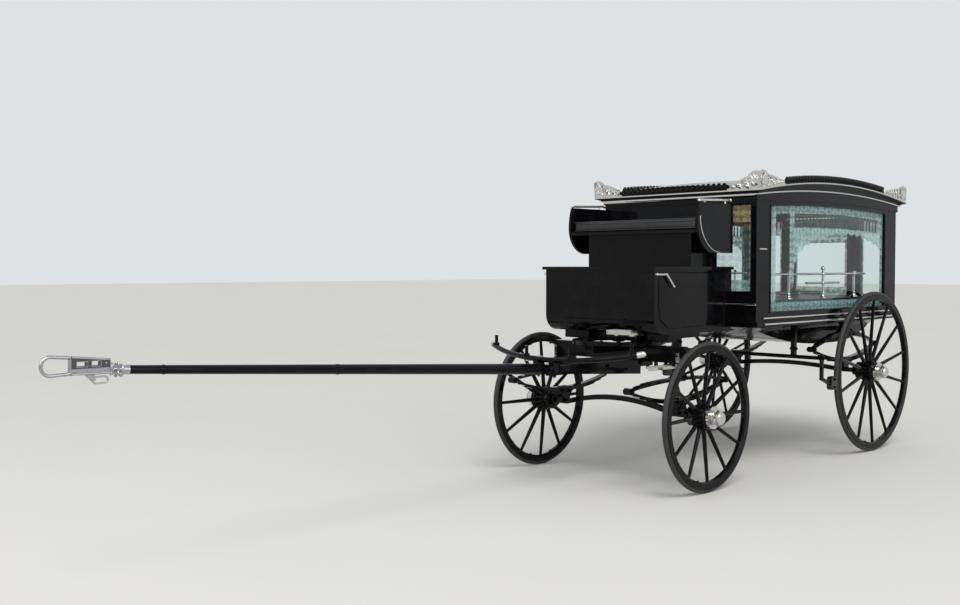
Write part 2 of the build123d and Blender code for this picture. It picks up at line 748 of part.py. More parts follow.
def make_bier_rail():
    """Near rail beside the coffin: three flared posts, joined by a long bar, the middle one with a ball."""
    pieces = [rod_x(BIER_RAIL_Y, BIER_RAIL_Z, BIER_RAIL_RADIUS, *BIER_RAIL_X)]
    middle = BIER_POST_X[1]
    foot_top = DECK_TOP + BIER_FOOT_HEIGHT
    for x in BIER_POST_X:
        top = BIER_MIDDLE_TOP if x == middle else BIER_POST_TOP
        foot = Cone(BIER_FOOT_RADIUS, BIER_POST_RADIUS, BIER_FOOT_HEIGHT)
        pieces.append(Pos(x, BIER_RAIL_Y, DECK_TOP + BIER_FOOT_HEIGHT / 2) * foot)
        pieces.append(post_z(x, BIER_RAIL_Y, BIER_POST_RADIUS, foot_top, top))
        pieces.append(Pos(x, BIER_RAIL_Y, BIER_RAIL_Z) * Sphere(BIER_BALL_RADIUS))
    ball_z = BIER_MIDDLE_TOP + BIER_BALL_RADIUS / 2
    pieces.append(Pos(middle, BIER_RAIL_Y, ball_z) * Sphere(BIER_BALL_RADIUS))
    pieces.append(Pos(middle, BIER_RAIL_Y, BIER_LOW_BAR_Z) * Sphere(BIER_BALL_RADIUS))
    pieces.append(
        rod_x(
            BIER_RAIL_Y, BIER_LOW_BAR_Z, BIER_RAIL_RADIUS, middle - BIER_LOW_BAR_REACH,
            middle + BIER_LOW_BAR_REACH,
        )
    )
    return fused(pieces)


ROLLER_COUNT = 5
ROLLER_PITCH = 380
ROLLER_LENGTH = 320


ROLLER_RADIUS = 15
ROLLER_PLATE = 5
ROLLER_LIFT = 22
CHEEK_HALF_LENGTH = 14
CHEEK_THICK = 10


def make_bier_rollers():
    """Rollers across the deck, each between two cheeks on a plate."""
    pieces = []
    half = ROLLER_LENGTH / 2
    for index in range(ROLLER_COUNT):
        x = COACH_MID + (index - (ROLLER_COUNT - 1) / 2) * ROLLER_PITCH
        reach = half + CHEEK_THICK + 4
        plate = block(x - 24, x + 24, -reach, reach, DECK_TOP, DECK_TOP + ROLLER_PLATE)
        roller = rod_y(x, DECK_TOP + ROLLER_LIFT, ROLLER_RADIUS, -half, half)
        cheeks = [
            block(
                x - CHEEK_HALF_LENGTH, x + CHEEK_HALF_LENGTH,
                *sorted((side * half, side * (half + CHEEK_THICK))),
                DECK_TOP, DECK_TOP + 2 * ROLLER_RADIUS,
            )
            for side in (-1, 1)
        ]
        pieces.append(fused([plate, roller] + cheeks))
    return Compound(children=pieces)


# Cloth valance inside the head of each side window
VALANCE_DROP = 90
VALANCE_THICK = 8
VALANCE_INSET = 30
VALANCE_LAP = 8
VALANCE_HEAD = SIDE_WINDOW_TOP + VALANCE_LAP


def make_valance():
    """Near valance: a plain arched strip that hangs just inside the wall."""
    outline = arch_band(
        SIDE_WINDOW_REAR + VALANCE_INSET, SIDE_WINDOW_FRONT - VALANCE_INSET,
        (VALANCE_HEAD - VALANCE_DROP, SIDE_WINDOW_RISE), (VALANCE_HEAD, SIDE_WINDOW_RISE),
    )
    outer = INNER_HALF_WIDTH - SOFT_GAP
    return side_profile(outline, outer - VALANCE_THICK, outer)


# Boot and driver's seat
def make_boot():
    """Closed box in front of the coach, under the driver's feet."""
    box = block(
        COACH_FRONT, BOOT_FRONT, -BOOT_HALF_WIDTH, BOOT_HALF_WIDTH, BOOT_BOTTOM,
        FOOTBOARD_TOP - FOOTBOARD_THICK,
    )
    nose = box.edges().filter_by(Axis.Y).sort_by(Axis.Z)[:2].sort_by(Axis.X)[-1]
    return fillet(nose, BOOT_NOSE_RADIUS)


def make_footboard():
    """Board on top of the boot, a little larger than it."""
    return block(
        COACH_FRONT, BOOT_FRONT + FOOTBOARD_OVERHANG, -BOOT_HALF_WIDTH - FOOTBOARD_OVERHANG,
        BOOT_HALF_WIDTH + FOOTBOARD_OVERHANG, FOOTBOARD_TOP - FOOTBOARD_THICK, FOOTBOARD_TOP,
    )


def make_front_step(boot):
    """Silver edged tread on two irons in front of the boot, on the near side."""
    y0, y1 = STEP_Y
    front = BOOT_FRONT + STEP_REACH
    tread = block(BOOT_FRONT, front, y0, y1, STEP_Z - STEP_THICK, STEP_Z)
    tread = fillet(tread.edges().filter_by(Axis.Z).sort_by(Axis.X)[-2:], STEP_THICK)
    irons = [
        block(
            BOOT_FRONT - BOOT_NOSE_RADIUS, BOOT_FRONT + 20, y - STEP_IRON, y + STEP_IRON,
            BOOT_BOTTOM - STEP_IRON, STEP_Z,
        )
        for y in (y0 + 3 * STEP_IRON, y1 - 3 * STEP_IRON)
    ]
    return fused([tread] + irons) - boot


def make_boot_handle():
    """Near bent handle on the side of the boot, close to its front corner."""
    y = BOOT_HALF_WIDTH + 2 * HANDLE_ROD
    x0 = BOOT_FRONT - HANDLE_ROD - 4
    bend = x0 - HANDLE_REACH
    level = rod_x(y, HANDLE_Z, HANDLE_ROD, bend, x0)
    slant = Pos(bend, y, HANDLE_Z) * Rot(0, -135, 0)
    drop = slant * Pos(0, 0, HANDLE_DROP / 2) * Cylinder(HANDLE_ROD, HANDLE_DROP)
    low = HANDLE_DROP / sqrt(2)
    ends = [(x0, HANDLE_Z), (bend, HANDLE_Z), (bend - low, HANDLE_Z - low)]
    pieces = [level, drop] + [Pos(x, y, z) * Sphere(HANDLE_ROD + 1) for x, z in ends]
    pieces += [rod_y(x, z, HANDLE_ROD - 1, BOOT_HALF_WIDTH, y) for x, z in (ends[0], ends[-1])]
    return fused(pieces)


def make_seat_box():
    """Box that carries the driver's seat."""
    return block(
        SEAT_REAR + SEAT_BACK_THICK, SEAT_FRONT - SEAT_BOX_INSET, SEAT_BOX_INSET - SEAT_HALF_WIDTH,
        SEAT_HALF_WIDTH - SEAT_BOX_INSET, FOOTBOARD_TOP, SEAT_BOARD_TOP - SEAT_BOARD_THICK,
    )


def seat_end_outline():
    """Outline of a seat end: upright at the back, bowed at the front and down to a short toe."""
    toe = SEAT_FRONT - SEAT_END_TOE
    brow = SEAT_FRONT - SEAT_END_BULGE
    bow = (SEAT_FRONT, SEAT_END_BOTTOM + 0.55 * (SEAT_END_TOP - SEAT_END_BOTTOM))
    return [
        Polyline(
            (toe, SEAT_END_BOTTOM), (SEAT_REAR, SEAT_END_BOTTOM), (SEAT_REAR, SEAT_END_TOP),
            (brow, SEAT_END_TOP),
        ),
        TangentArc(bow, (brow, SEAT_END_TOP), tangent=(0, 1)),
        TangentArc(bow, (toe, SEAT_END_BOTTOM), tangent=(0, -1)),
    ]


def make_seat_frame():
    """Seat board with rounded end panels and a low back."""
    board = block(
        SEAT_REAR, SEAT_FRONT, -SEAT_HALF_WIDTH, SEAT_HALF_WIDTH,
        SEAT_BOARD_TOP - SEAT_BOARD_THICK, SEAT_BOARD_TOP,
    )
    back = block(
        SEAT_REAR, SEAT_REAR + SEAT_BACK_THICK, -SEAT_HALF_WIDTH, SEAT_HALF_WIDTH,
        SEAT_BOARD_TOP, SEAT_END_TOP,
    )
    near = side_profile(seat_end_outline(), SEAT_HALF_WIDTH, SEAT_HALF_WIDTH + SEAT_END_THICK)
    return fused([board, back, near, mirror(near, Plane.XZ)])


def make_seat_cushion():
    """Long driver's cushion between the end panels."""
    return block(
        SEAT_REAR + SEAT_BACK_THICK + SOFT_GAP, SEAT_FRONT - 10, -SEAT_HALF_WIDTH + SOFT_GAP,
        SEAT_HALF_WIDTH - SOFT_GAP, SEAT_BOARD_TOP + SOFT_GAP, SEAT_BOARD_TOP + CUSHION_HEIGHT,
    )


RAIL_REAR_LIFT = 25
RAIL_FRONT_LIFT = 12
RAIL_POST_RADIUS = 6
RAIL_POST_INSET = 60


def make_seat_rail():
    """Near seat rail on two short posts over the end panel, a little lower at the front."""
    y = SEAT_HALF_WIDTH + SEAT_END_THICK / 2
    start = (SEAT_REAR + 20, y, SEAT_END_TOP + RAIL_REAR_LIFT)
    stop = (SEAT_FRONT - 30, y, SEAT_END_TOP + RAIL_FRONT_LIFT)
    line = Line(start, stop)
    pieces = [sweep(Plane(line @ 0, z_dir=line % 0) * Circle(RAIL_RADIUS), line)]
    pieces += [Pos(place) * Sphere(RAIL_RADIUS + 3) for place in (start, stop)]
    share = RAIL_POST_INSET / line.length
    for place in (line @ share, line @ (1 - share)):
        pieces.append(post_z(place.X, y, RAIL_POST_RADIUS, SEAT_END_TOP, place.Z))
    return fused(pieces)


# Springs
def leaf_stack(eye_z, half_span, opening, leaves, upward):
    """Half of an elliptic spring: leaves of falling length on one common centre."""
    radius = (half_span**2 + opening**2) / (2 * opening)
    sign = 1 if upward else -1
    centre = eye_z - sign * (radius - opening)
    full = atan2(half_span, radius - opening)
    leaf_pieces = []
    for index in range(leaves):
        reach = full * (1 - LEAF_SHORTENING * index)
        inner = radius + index * LEAF
        outer = inner + LEAF

        def at(length, turn):
            return (length * sin(turn), centre + sign * length * cos(turn))

        outline = [
            ThreePointArc(at(inner, -reach), at(inner, 0), at(inner, reach)),
            ThreePointArc(at(outer, -reach), at(outer, 0), at(outer, reach)),
            Line(at(inner, -reach), at(outer, -reach)),
            Line(at(inner, reach), at(outer, reach)),
        ]
        leaf_pieces.append(side_profile(outline, SPRING_Y - SPRING_WIDTH / 2, SPRING_Y + SPRING_WIDTH / 2))
    return fused(leaf_pieces)


def make_spring(x, eye_z, half_span, halves):
    """Near elliptic spring; each half has an opening, a number of leaves and a mark for the upper one."""
    low, high = SPRING_Y - SPRING_WIDTH / 2 - 4, SPRING_Y + SPRING_WIDTH / 2 + 4
    pieces = [rod_y(end * half_span, eye_z, EYE_RADIUS, low, high) for end in (-1, 1)]
    for opening, leaves, upward in halves:
        pieces.append(leaf_stack(eye_z, half_span, opening, leaves, upward))
        side = 1 if upward else -1
        inner, outer = eye_z + side * (opening - CLIP_PROUD), eye_z + side * (opening + leaves * LEAF)
        pieces.append(block(-SPRING_PAD / 2, SPRING_PAD / 2, low, high, *sorted((inner, outer))))
    return Pos(x, 0, 0) * fused(pieces)


# Axles
def hub_inner_y(track_half):
    """Y of the inner end of the nave."""
    return track_half - DISH - NAVE_INNER_REACH


def make_axle(x, z, rise, track_half, spring_seat_z):
    """Arched axle with spring pads, collars and round arms."""
    inner = hub_inner_y(track_half) - WHEEL_SIDE_GAP
    shoulder = inner - COLLAR_WIDTH
    half = AXLE_SECTION / 2
    arch = SPRING_Y - SPRING_WIDTH / 2 - ARCH_MARGIN
    edges = []
    for lift in (-half, half):
        edges.append(Line((-shoulder, z + lift), (-arch, z + lift)))
        edges.append(ThreePointArc((-arch, z + lift), (0, z + lift + rise), (arch, z + lift)))
        edges.append(Line((arch, z + lift), (shoulder, z + lift)))
    edges.append(Line((-shoulder, z - half), (-shoulder, z + half)))
    edges.append(Line((shoulder, z - half), (shoulder, z + half)))
    beam = cross_profile(edges, x - half, x + half)
    arm_end = track_half - DISH + NAVE_OUTER_REACH + 20
    pieces = [beam]
    for side in (-1, 1):
        ends = sorted((side * shoulder, side * inner))
        arm = sorted((side * inner, side * arm_end))
        y = side * SPRING_Y
        pieces.append(rod_y(x, z, COLLAR_RADIUS, *ends))
        pieces.append(rod_y(x, z, ARM_RADIUS, *arm))
        pieces.append(
            block(
                x - SPRING_PAD / 2, x + SPRING_PAD / 2, y - SPRING_WIDTH / 2, y + SPRING_WIDTH / 2,
                z, spring_seat_z,
            )
        )
    return fused(pieces)


# Wheels
def make_wheel(radius, spokes):
    """Dished wooden wheel: felloe, tapered spokes and a turned nave, outer side at +Y."""
    tread = radius - TYRE_DEPTH
    felloe_in = tread - FELLOE_DEPTH
    half = FELLOE_WIDTH / 2
    with_chamfer = 10
    felloe_face = Plane.YZ * make_face(
        Polyline(
            (-half, tread), (half, tread), (half, felloe_in + with_chamfer),
            (half - with_chamfer, felloe_in), (with_chamfer - half, felloe_in),
            (-half, felloe_in + with_chamfer), close=True,
        )
    )
    felloe = revolve(felloe_face, Axis.Y)
    inner, outer = -DISH - NAVE_INNER_REACH, -DISH + NAVE_OUTER_REACH
    bore = ARM_RADIUS + ARM_CLEARANCE
    nave_face = Plane.YZ * make_face(
        [
            Line((inner, bore), (inner, NAVE_END_RADIUS)),
            ThreePointArc(
                (inner, NAVE_END_RADIUS),
                (-DISH - 45, NAVE_RADIUS - 4),
                (-DISH - 20, NAVE_RADIUS),
            ),
            Line((-DISH - 20, NAVE_RADIUS), (-DISH + 20, NAVE_RADIUS)),
            ThreePointArc(
                (-DISH + 20, NAVE_RADIUS),
                (-DISH + 42, NAVE_RADIUS - 5),
                (outer, NAVE_END_RADIUS + 4),
            ),
            Line((outer, NAVE_END_RADIUS + 4), (outer, bore)),
            Line((outer, bore), (inner, bore)),
        ]
    )
    wheel = felloe + revolve(nave_face, Axis.Y)
    start, end = NAVE_RADIUS - SPOKE_ENTRY, felloe_in + 6
    length = sqrt((end - start) ** 2 + DISH**2)
    lean = degrees(atan2(DISH, end - start))
    cone = Pos(0, -DISH, start) * Rot(-lean, 0, 0) * Pos(0, 0, length / 2) * Cone(
        SPOKE_ROOT_RADIUS, SPOKE_TIP_RADIUS, length
    )
    turned = [Rot(0, index * 360 / spokes, 0) * cone for index in range(spokes)]
    return wheel + turned


def make_tyre(radius):
    """Solid tyre with a rounded tread."""
    tread = radius - TYRE_DEPTH
    half = TYRE_WIDTH / 2
    side = radius - 12
    face = Plane.YZ * make_face(
        [
            Polyline((-half, side), (-half, tread), (half, tread), (half, side)),
            ThreePointArc((-half, side), (0, radius), (half, side)),
        ]
    )
    return revolve(face, Axis.Y)


def make_hub_cap():
    """Silver nave ring and oil cap, hollow over the end of the axle arm."""
    y0 = -DISH + NAVE_OUTER_REACH
    y1 = y0 + CAP_RING_WIDTH
    y2 = y1 + CAP_LENGTH
    bore = ARM_RADIUS + 4
    face = Plane.YZ * make_face(
        Polyline(
            (y0, bore), (y0, CAP_RING_RADIUS), (y1, CAP_RING_RADIUS), (y1, CAP_RADIUS),
            (y2 - 8, CAP_RADIUS), (y2, CAP_RADIUS - 8), (y2, 0), (y2 - CAP_WALL, 0),
            (y2 - CAP_WALL, bore), close=True,
        )
    )
    return revolve(face, Axis.Y)


# Turntable and draught gear
FRONT_SPRING_TOP = FRONT_EYE_Z + FRONT_UPPER_OPEN + FRONT_UPPER_LEAVES * LEAF
BED_BOTTOM = BED_TOP - BED_DEPTH
LOWER_RING_TOP = BED_TOP + RING_THICK
UPPER_RING_BOTTOM = LOWER_RING_TOP + RING_GAP
UPPER_RING_TOP = UPPER_RING_BOTTOM + RING_THICK
KINGPIN_BOTTOM = BED_BOTTOM + 10


def ring_plate(z0, z1):
    """Flat turntable ring round the kingpin."""
    disc = post_z(WHEELBASE, 0, RING_RADIUS, z0, z1)
    return disc - post_z(WHEELBASE, 0, RING_RADIUS - RING_WIDTH, z0 - 1, z1 + 1)


def make_upper_turntable():
    """Beams under the boot with the upper ring and the kingpin."""
    pieces = [
        ring_plate(UPPER_RING_BOTTOM, UPPER_RING_TOP),
        block(
            WHEELBASE - BED_HALF_LENGTH, WHEELBASE + BED_HALF_LENGTH, FLARE_INSET - BOOT_HALF_WIDTH,
            BOOT_HALF_WIDTH - FLARE_INSET, UPPER_RING_TOP, BOOT_BOTTOM,
        ),
        post_z(WHEELBASE, 0, KINGPIN_RADIUS, KINGPIN_BOTTOM, UPPER_RING_TOP),
        post_z(WHEELBASE, 0, BOSS_RADIUS, UPPER_RING_BOTTOM, UPPER_RING_TOP),
    ]
    beam_front = BOOT_FRONT - BOOT_NOSE_RADIUS - STEP_IRON
    for y in (-LONG_BEAM_Y, LONG_BEAM_Y):
        ys = (y - LONG_BEAM_HALF_WIDTH, y + LONG_BEAM_HALF_WIDTH)
        pieces.append(block(COACH_FRONT + WALL, beam_front, *ys, UPPER_RING_TOP, BOOT_BOTTOM))
    return fused(pieces)


def make_lower_turntable():
    """Cross bed on the front springs, with a long piece and the lower ring on it."""
    reach = SPRING_Y + BED_OVERHANG
    cross = block(
        WHEELBASE - BED_HALF_LENGTH, WHEELBASE + BED_HALF_LENGTH, -reach, reach, BED_BOTTOM, BED_TOP
    )
    along = block(
        WHEELBASE - RING_RADIUS, WHEELBASE + RING_RADIUS, -PERCH_HALF_WIDTH, PERCH_HALF_WIDTH,
        BED_TOP - PERCH_DEPTH, BED_TOP,
    )
    blocks = [
        block(
            WHEELBASE - SPRING_PAD / 2, WHEELBASE + SPRING_PAD / 2, y - SPRING_WIDTH / 2,
            y + SPRING_WIDTH / 2, FRONT_SPRING_TOP, BED_BOTTOM,
        )
        for y in (-SPRING_Y, SPRING_Y)
    ]
    bore = post_z(WHEELBASE, 0, KINGPIN_RADIUS + ARM_CLEARANCE, BED_BOTTOM - 1, BED_TOP + 1)
    return fused([cross, along, ring_plate(BED_TOP, LOWER_RING_TOP)] + blocks) - bore


def make_bed_step():
    """Near silver tread for the driver, on an iron from the front face of the bed."""
    x0, x1 = [WHEELBASE + ahead for ahead in STEP_TREAD_AHEAD]
    y0, y1 = STEP_TREAD_Y
    low = STEP_TREAD_TOP - STEP_TREAD_THICK
    tread = block(x0, x1, y0, y1, low, STEP_TREAD_TOP)
    tread = fillet(tread.edges().filter_by(Axis.Z), STEP_TREAD_THICK)
    face = WHEELBASE + BED_HALF_LENGTH
    iron_ys = (y0 + STEP_IRON, SPRING_Y + BED_OVERHANG)
    iron = block(face, x1 - STEP_IRON, *iron_ys, low - STEP_IRON, low)
    foot = block(face, face + STEP_IRON, *iron_ys, low - STEP_IRON, BED_TOP - BED_DEPTH / 3)
    return fused([tread, iron, foot])


def make_futchells():
    """Two bars that hold the pole between them, joined by a plate behind the bed."""
    low, high = BED_BOTTOM - FUTCHELL_DEPTH, BED_BOTTOM
    pieces = []
    for side in (-1, 1):
        ys = sorted((side * FUTCHELL_GAP / 2, side * (FUTCHELL_GAP / 2 + FUTCHELL_WIDTH)))
        pieces.append(block(FUTCHELL_REAR, FUTCHELL_FRONT, *ys, low, high))
    width = FUTCHELL_GAP / 2 + FUTCHELL_WIDTH
    pieces.append(block(FUTCHELL_REAR, FUTCHELL_REAR + 40, -width, width, low, high))
    return fused(pieces)


def splinter_path():
    """Centre line of the splinter bar, its ends swept back and up."""
    end_x = SPLINTER_X - SPLINTER_SWEEP
    end_z = SPLINTER_Z + SPLINTER_LIFT
    return ThreePointArc(
        (end_x, -SPLINTER_HALF_WIDTH, end_z),
        (SPLINTER_X, 0, SPLINTER_Z),
        (end_x, SPLINTER_HALF_WIDTH, end_z),
    )


def make_splinter_bar():
    """Bowed bar across the futchells with two saddles."""
    path = splinter_path()
    section = Plane(path @ 0, z_dir=path % 0) * Circle(SPLINTER_RADIUS)
    bar = sweep(section, path)
    pieces = [bar]
    for side in (-1, 1):
        ys = sorted((side * FUTCHELL_GAP / 2, side * (FUTCHELL_GAP / 2 + FUTCHELL_WIDTH)))
        pieces.append(block(SPLINTER_X - 34, SPLINTER_X + 30, *ys, BED_BOTTOM, SPLINTER_Z))
    return fused(pieces)


def pin_place(y):
    """Point on the centre line of the splinter bar at the given y."""
    share = y / SPLINTER_HALF_WIDTH
    return SPLINTER_X - SPLINTER_SWEEP * share**2, SPLINTER_Z + SPLINTER_LIFT * share**2


def make_trace_pins(bar):
    """Upright draught pins that the traces drop over, seated on the splinter bar."""
    pins = []
    for row in PIN_ROWS:
        for y in (-row, row):
            x, z = pin_place(y)
            seat = z + SPLINTER_RADIUS + PIN_FLANGE_LIFT
            flange = post_z(x, y, PIN_RADIUS + PIN_FLANGE, z, seat)
            pin = post_z(x, y, PIN_RADIUS, z, seat + PIN_LENGTH)
            pins.append(fused([flange, pin]) - bar)
    return Compound(children=pins)


def make_splinter_cap(bar):
    """Near silver cap on the end of the splinter bar: a sleeve with a rounded end."""
    path = splinter_path()
    end, along = path @ 1, path % 1
    inner = end - along * CAP_SLEEVE
    sleeve = Plane((inner + end) / 2, z_dir=along) * Cylinder(SPLINTER_RADIUS + CAP_PROUD, CAP_SLEEVE)
    knob = Pos(end) * Sphere(SPLINTER_RADIUS + CAP_PROUD)
    return fused([sleeve, knob]) - bar


def pole_frame():
    """Frame on the pole's axis: its X runs forward along the pole from the splinter bar."""
    return Pos(SPLINTER_X, 0, POLE_Z_AT_SPLINTER) * Rot(0, -POLE_SLOPE, 0)


def make_pole():
    """Pole with a square root between the futchells and a tapered round shaft."""
    root = block(
        POLE_ROOT_X - SPLINTER_X, POLE_ROOT_END - SPLINTER_X, -FUTCHELL_GAP / 2, FUTCHELL_GAP / 2,
        -POLE_ROOT_DEPTH / 2, POLE_ROOT_DEPTH / 2,
    )
    start, end = POLE_ROOT_END - SPLINTER_X, POLE_TIP_X - SPLINTER_X
    shaft = Pos((start + end) / 2, 0, 0) * Rot(0, 90, 0) * Cone(
        POLE_BASE_RADIUS, POLE_TIP_RADIUS, end - start
    )
    return pole_frame() * (root + shaft)


# Pole head, by distance along the vehicle and height
FERRULE_END = 5760
RIM_X = 5777
HEAD_REAR = 5800
HEAD_FRONT = 5980
HEAD_LOW = 948
HEAD_HIGH = 1031
HEAD_REAR_LOW = 945
HEAD_REAR_HIGH = 1013
HEAD_WINDOWS = [(5844, 5887), (5904, 5954)]
WINDOW_LOW = 983
WINDOW_HIGH = 1006
HEAD_ROUNDING = 6
FERRULE_RADIUS = 22
FERRULE_END_RADIUS = 16
NECK_RADIUS = 11
RIM_RADIUS = 23
RIM_THICK = 13
BALL_RADIUS = 8
RING_CENTRE = (5843, 921)
RING_HALF_LENGTH = 34
RING_BEND = 14
RING_ROD = 4
SIDE_RING_RADIUS = 24
SIDE_RING_ROD = 5
SIDE_RING_SEAT = 2
HEAD_EDGE_LEAN = 15
LUG_LENGTH = 44


def head_loop():
    """Round bar that closes the front of the pole head as a long loop."""
    cx, cz = LOOP_CENTRE
    top, bottom = cz + LOOP_RADIUS, cz - LOOP_RADIUS
    root = HEAD_FRONT - 2 * HEAD_ROUNDING
    bend = ThreePointArc((cx, 0, top), (cx + LOOP_RADIUS, 0, cz), (cx, 0, bottom))
    pieces = [sweep(Plane(bend @ 0, z_dir=bend % 0) * Circle(CRAB_ROD), bend)]
    for root_z, end_z in ((HEAD_HIGH - CRAB_ROD, top), (HEAD_LOW + CRAB_ROD, bottom)):
        limb = Line((root, 0, root_z), (cx, 0, end_z))
        pieces.append(sweep(Plane(limb @ 0, z_dir=limb % 0) * Circle(CRAB_ROD), limb))
        pieces.append(Pos(cx, 0, end_z) * Sphere(CRAB_ROD))
    return pieces


def head_ring():
    """Long ring of round bar that hangs under the pole head, and the lug that holds it."""
    rx, rz = RING_CENTRE
    rear, front = rx - RING_HALF_LENGTH, rx + RING_HALF_LENGTH
    high, low = rz + RING_BEND, rz - RING_BEND
    path = Wire([
        Line((rear + RING_BEND, 0, high), (front - RING_BEND, 0, high)),
        ThreePointArc((front - RING_BEND, 0, high), (front, 0, rz), (front - RING_BEND, 0, low)),
        Line((front - RING_BEND, 0, low), (rear + RING_BEND, 0, low)),
        ThreePointArc((rear + RING_BEND, 0, low), (rear, 0, rz), (rear + RING_BEND, 0, high)),
    ])
    ring = sweep(Plane(path @ 0, z_dir=path % 0) * Circle(RING_ROD), path)
    lug_top = HEAD_LOW + HEAD_ROUNDING
    lug_outline = Polyline(
        (front + LUG_LENGTH, lug_top), (front - HEAD_ROUNDING, lug_top),
        (front - 2 * HEAD_ROUNDING, rz), (front + HEAD_ROUNDING, rz - RING_ROD), close=True,
    )
    return [side_profile(lug_outline, -HEAD_ROUNDING, HEAD_ROUNDING), ring]


def make_pole_head():
    """Steel pole head: ferrule, rim, a body with two windows, a front loop, a lug ring and side rings."""
    tip = pole_frame() * Pos(POLE_TIP_X - SPLINTER_X, 0, 0) * Rot(0, 90, 0)
    rim = RIM_X - POLE_TIP_X
    ferrule_end = FERRULE_END - POLE_TIP_X
    neck_end = HEAD_REAR - POLE_TIP_X + 4 * HEAD_ROUNDING
    turned = Polyline(
        (0, 0), (FERRULE_RADIUS, 0), (FERRULE_END_RADIUS, ferrule_end), (NECK_RADIUS, ferrule_end),
        (NECK_RADIUS, rim - RIM_THICK / 2), (RIM_RADIUS, rim - RIM_THICK / 2),
        (RIM_RADIUS, rim + RIM_THICK / 2), (NECK_RADIUS, rim + RIM_THICK / 2),
        (NECK_RADIUS, neck_end), (0, neck_end), close=True,
    )
    stem = tip * revolve(Plane.XZ * make_face(turned), Axis.Z)
    ball_lift = RIM_RADIUS + BALL_RADIUS / 2
    ring_out = RIM_RADIUS + SIDE_RING_RADIUS - SIDE_RING_SEAT
    balls = [tip * Pos(side * ball_lift, 0, rim) * Sphere(BALL_RADIUS) for side in (-1, 1)]
    side_ring = Torus(SIDE_RING_RADIUS, SIDE_RING_ROD)
    side_rings = [tip * Pos(0, side * ring_out, rim) * side_ring for side in (-1, 1)]
    half = CRAB_THICK / 2
    outline = Polyline(
        (HEAD_REAR, HEAD_REAR_LOW), (HEAD_FRONT, HEAD_LOW), (HEAD_FRONT, HEAD_HIGH),
        (HEAD_REAR, HEAD_REAR_HIGH), close=True,
    )
    body = side_profile(outline, -half, half)
    body = fillet(body.edges().filter_by(Axis.X, tolerance=HEAD_EDGE_LEAN), HEAD_ROUNDING)
    for x0, x1 in HEAD_WINDOWS:
        body = body - block(x0, x1, -half - 1, half + 1, WINDOW_LOW, WINDOW_HIGH)
    return fused([body, stem] + head_ring() + head_loop() + balls + side_rings)


# Brackets, irons and brake
REAR_SPRING_TOP = REAR_EYE_Z + REAR_UPPER_OPEN + REAR_UPPER_LEAVES * LEAF


def make_spring_bracket(underbody):
    """Near body iron between the top of the rear spring and the flare of the body."""
    pad = block(
        -SPRING_PAD / 2, SPRING_PAD / 2, SPRING_Y - SPRING_WIDTH / 2, SPRING_Y + SPRING_WIDTH / 2,
        REAR_SPRING_TOP, SILL_BOTTOM,
    )
    return pad - underbody


def make_neck_iron():
    """Near iron strap that ties the cross beam over the turntable to the bottom of the coach."""
    half = NECK_IRON_WIDTH / 2
    return block(
        COACH_FRONT - NECK_IRON_LAP, WHEELBASE - BED_HALF_LENGTH, NECK_IRON_Y - half, NECK_IRON_Y + half,
        BOOT_BOTTOM - NECK_IRON_THICK, BOOT_BOTTOM,
    )


def make_brake(underbody):
    """Cross shaft under the body with hangers, arms and pivots for the shoes before the rear wheels."""
    end = REAR_TRACK_HALF + BRAKE_ARM_HALF_WIDTH
    pieces = [rod_y(BRAKE_X, BRAKE_Z, BRAKE_SHAFT_RADIUS, -end, end)]
    reach = sqrt(REAR_RADIUS**2 - (BRAKE_BLOCK_Z - REAR_RADIUS) ** 2) + BRAKE_BLOCK_GAP
    pivot_x = reach + BRAKE_BLOCK_LENGTH
    foot_z = BRAKE_BLOCK_Z + BRAKE_BLOCK_HALF_HEIGHT
    for side in (-1, 1):
        y = side * BRAKE_HANGER_Y
        hanger = block(
            BRAKE_X - BRAKE_HANGER_HALF_LENGTH, BRAKE_X + BRAKE_HANGER_HALF_LENGTH,
            y - BRAKE_HANGER_HALF_WIDTH, y + BRAKE_HANGER_HALF_WIDTH, BRAKE_Z, SILL_BOTTOM,
        )
        pieces.append(hanger - underbody)
        ys = (side * REAR_TRACK_HALF - BRAKE_ARM_HALF_WIDTH, side * REAR_TRACK_HALF + BRAKE_ARM_HALF_WIDTH)
        half = BRAKE_ARM / 2
        pieces.append(block(BRAKE_X - half, BRAKE_X + half, *ys, foot_z, BRAKE_Z))
        foot = Polyline(
            (BRAKE_X - half, foot_z), (BRAKE_X + half, foot_z), (BRAKE_X + half, foot_z - half),
            (pivot_x, BRAKE_BLOCK_Z - half), (pivot_x, BRAKE_BLOCK_Z + half), close=True,
        )
        pieces.append(side_profile(foot, *ys))
        pieces.append(rod_y(BRAKE_X, BRAKE_Z, BRAKE_BOSS_RADIUS, *ys))
    return fused(pieces), reach, pivot_x


def make_brake_shoe(reach, pivot_x, brake):
    """Near wooden shoe that stands just clear of the tyre."""
    half_width = 2 * BRAKE_ARM_HALF_WIDTH
    shoe = block(
        reach, pivot_x, REAR_TRACK_HALF - half_width, REAR_TRACK_HALF + half_width,
        BRAKE_BLOCK_Z - BRAKE_BLOCK_HALF_HEIGHT, BRAKE_BLOCK_Z + BRAKE_BLOCK_HALF_HEIGHT,
    )
    shoe = fillet(shoe.edges().filter_by(Axis.Y).sort_by(Axis.X)[-2:], BRAKE_BLOCK_HALF_HEIGHT / 2)
    clear = rod_y(0, REAR_RADIUS, REAR_RADIUS + BRAKE_BLOCK_GAP, 0, 2 * REAR_TRACK_HALF)
    return shoe - clear - brake


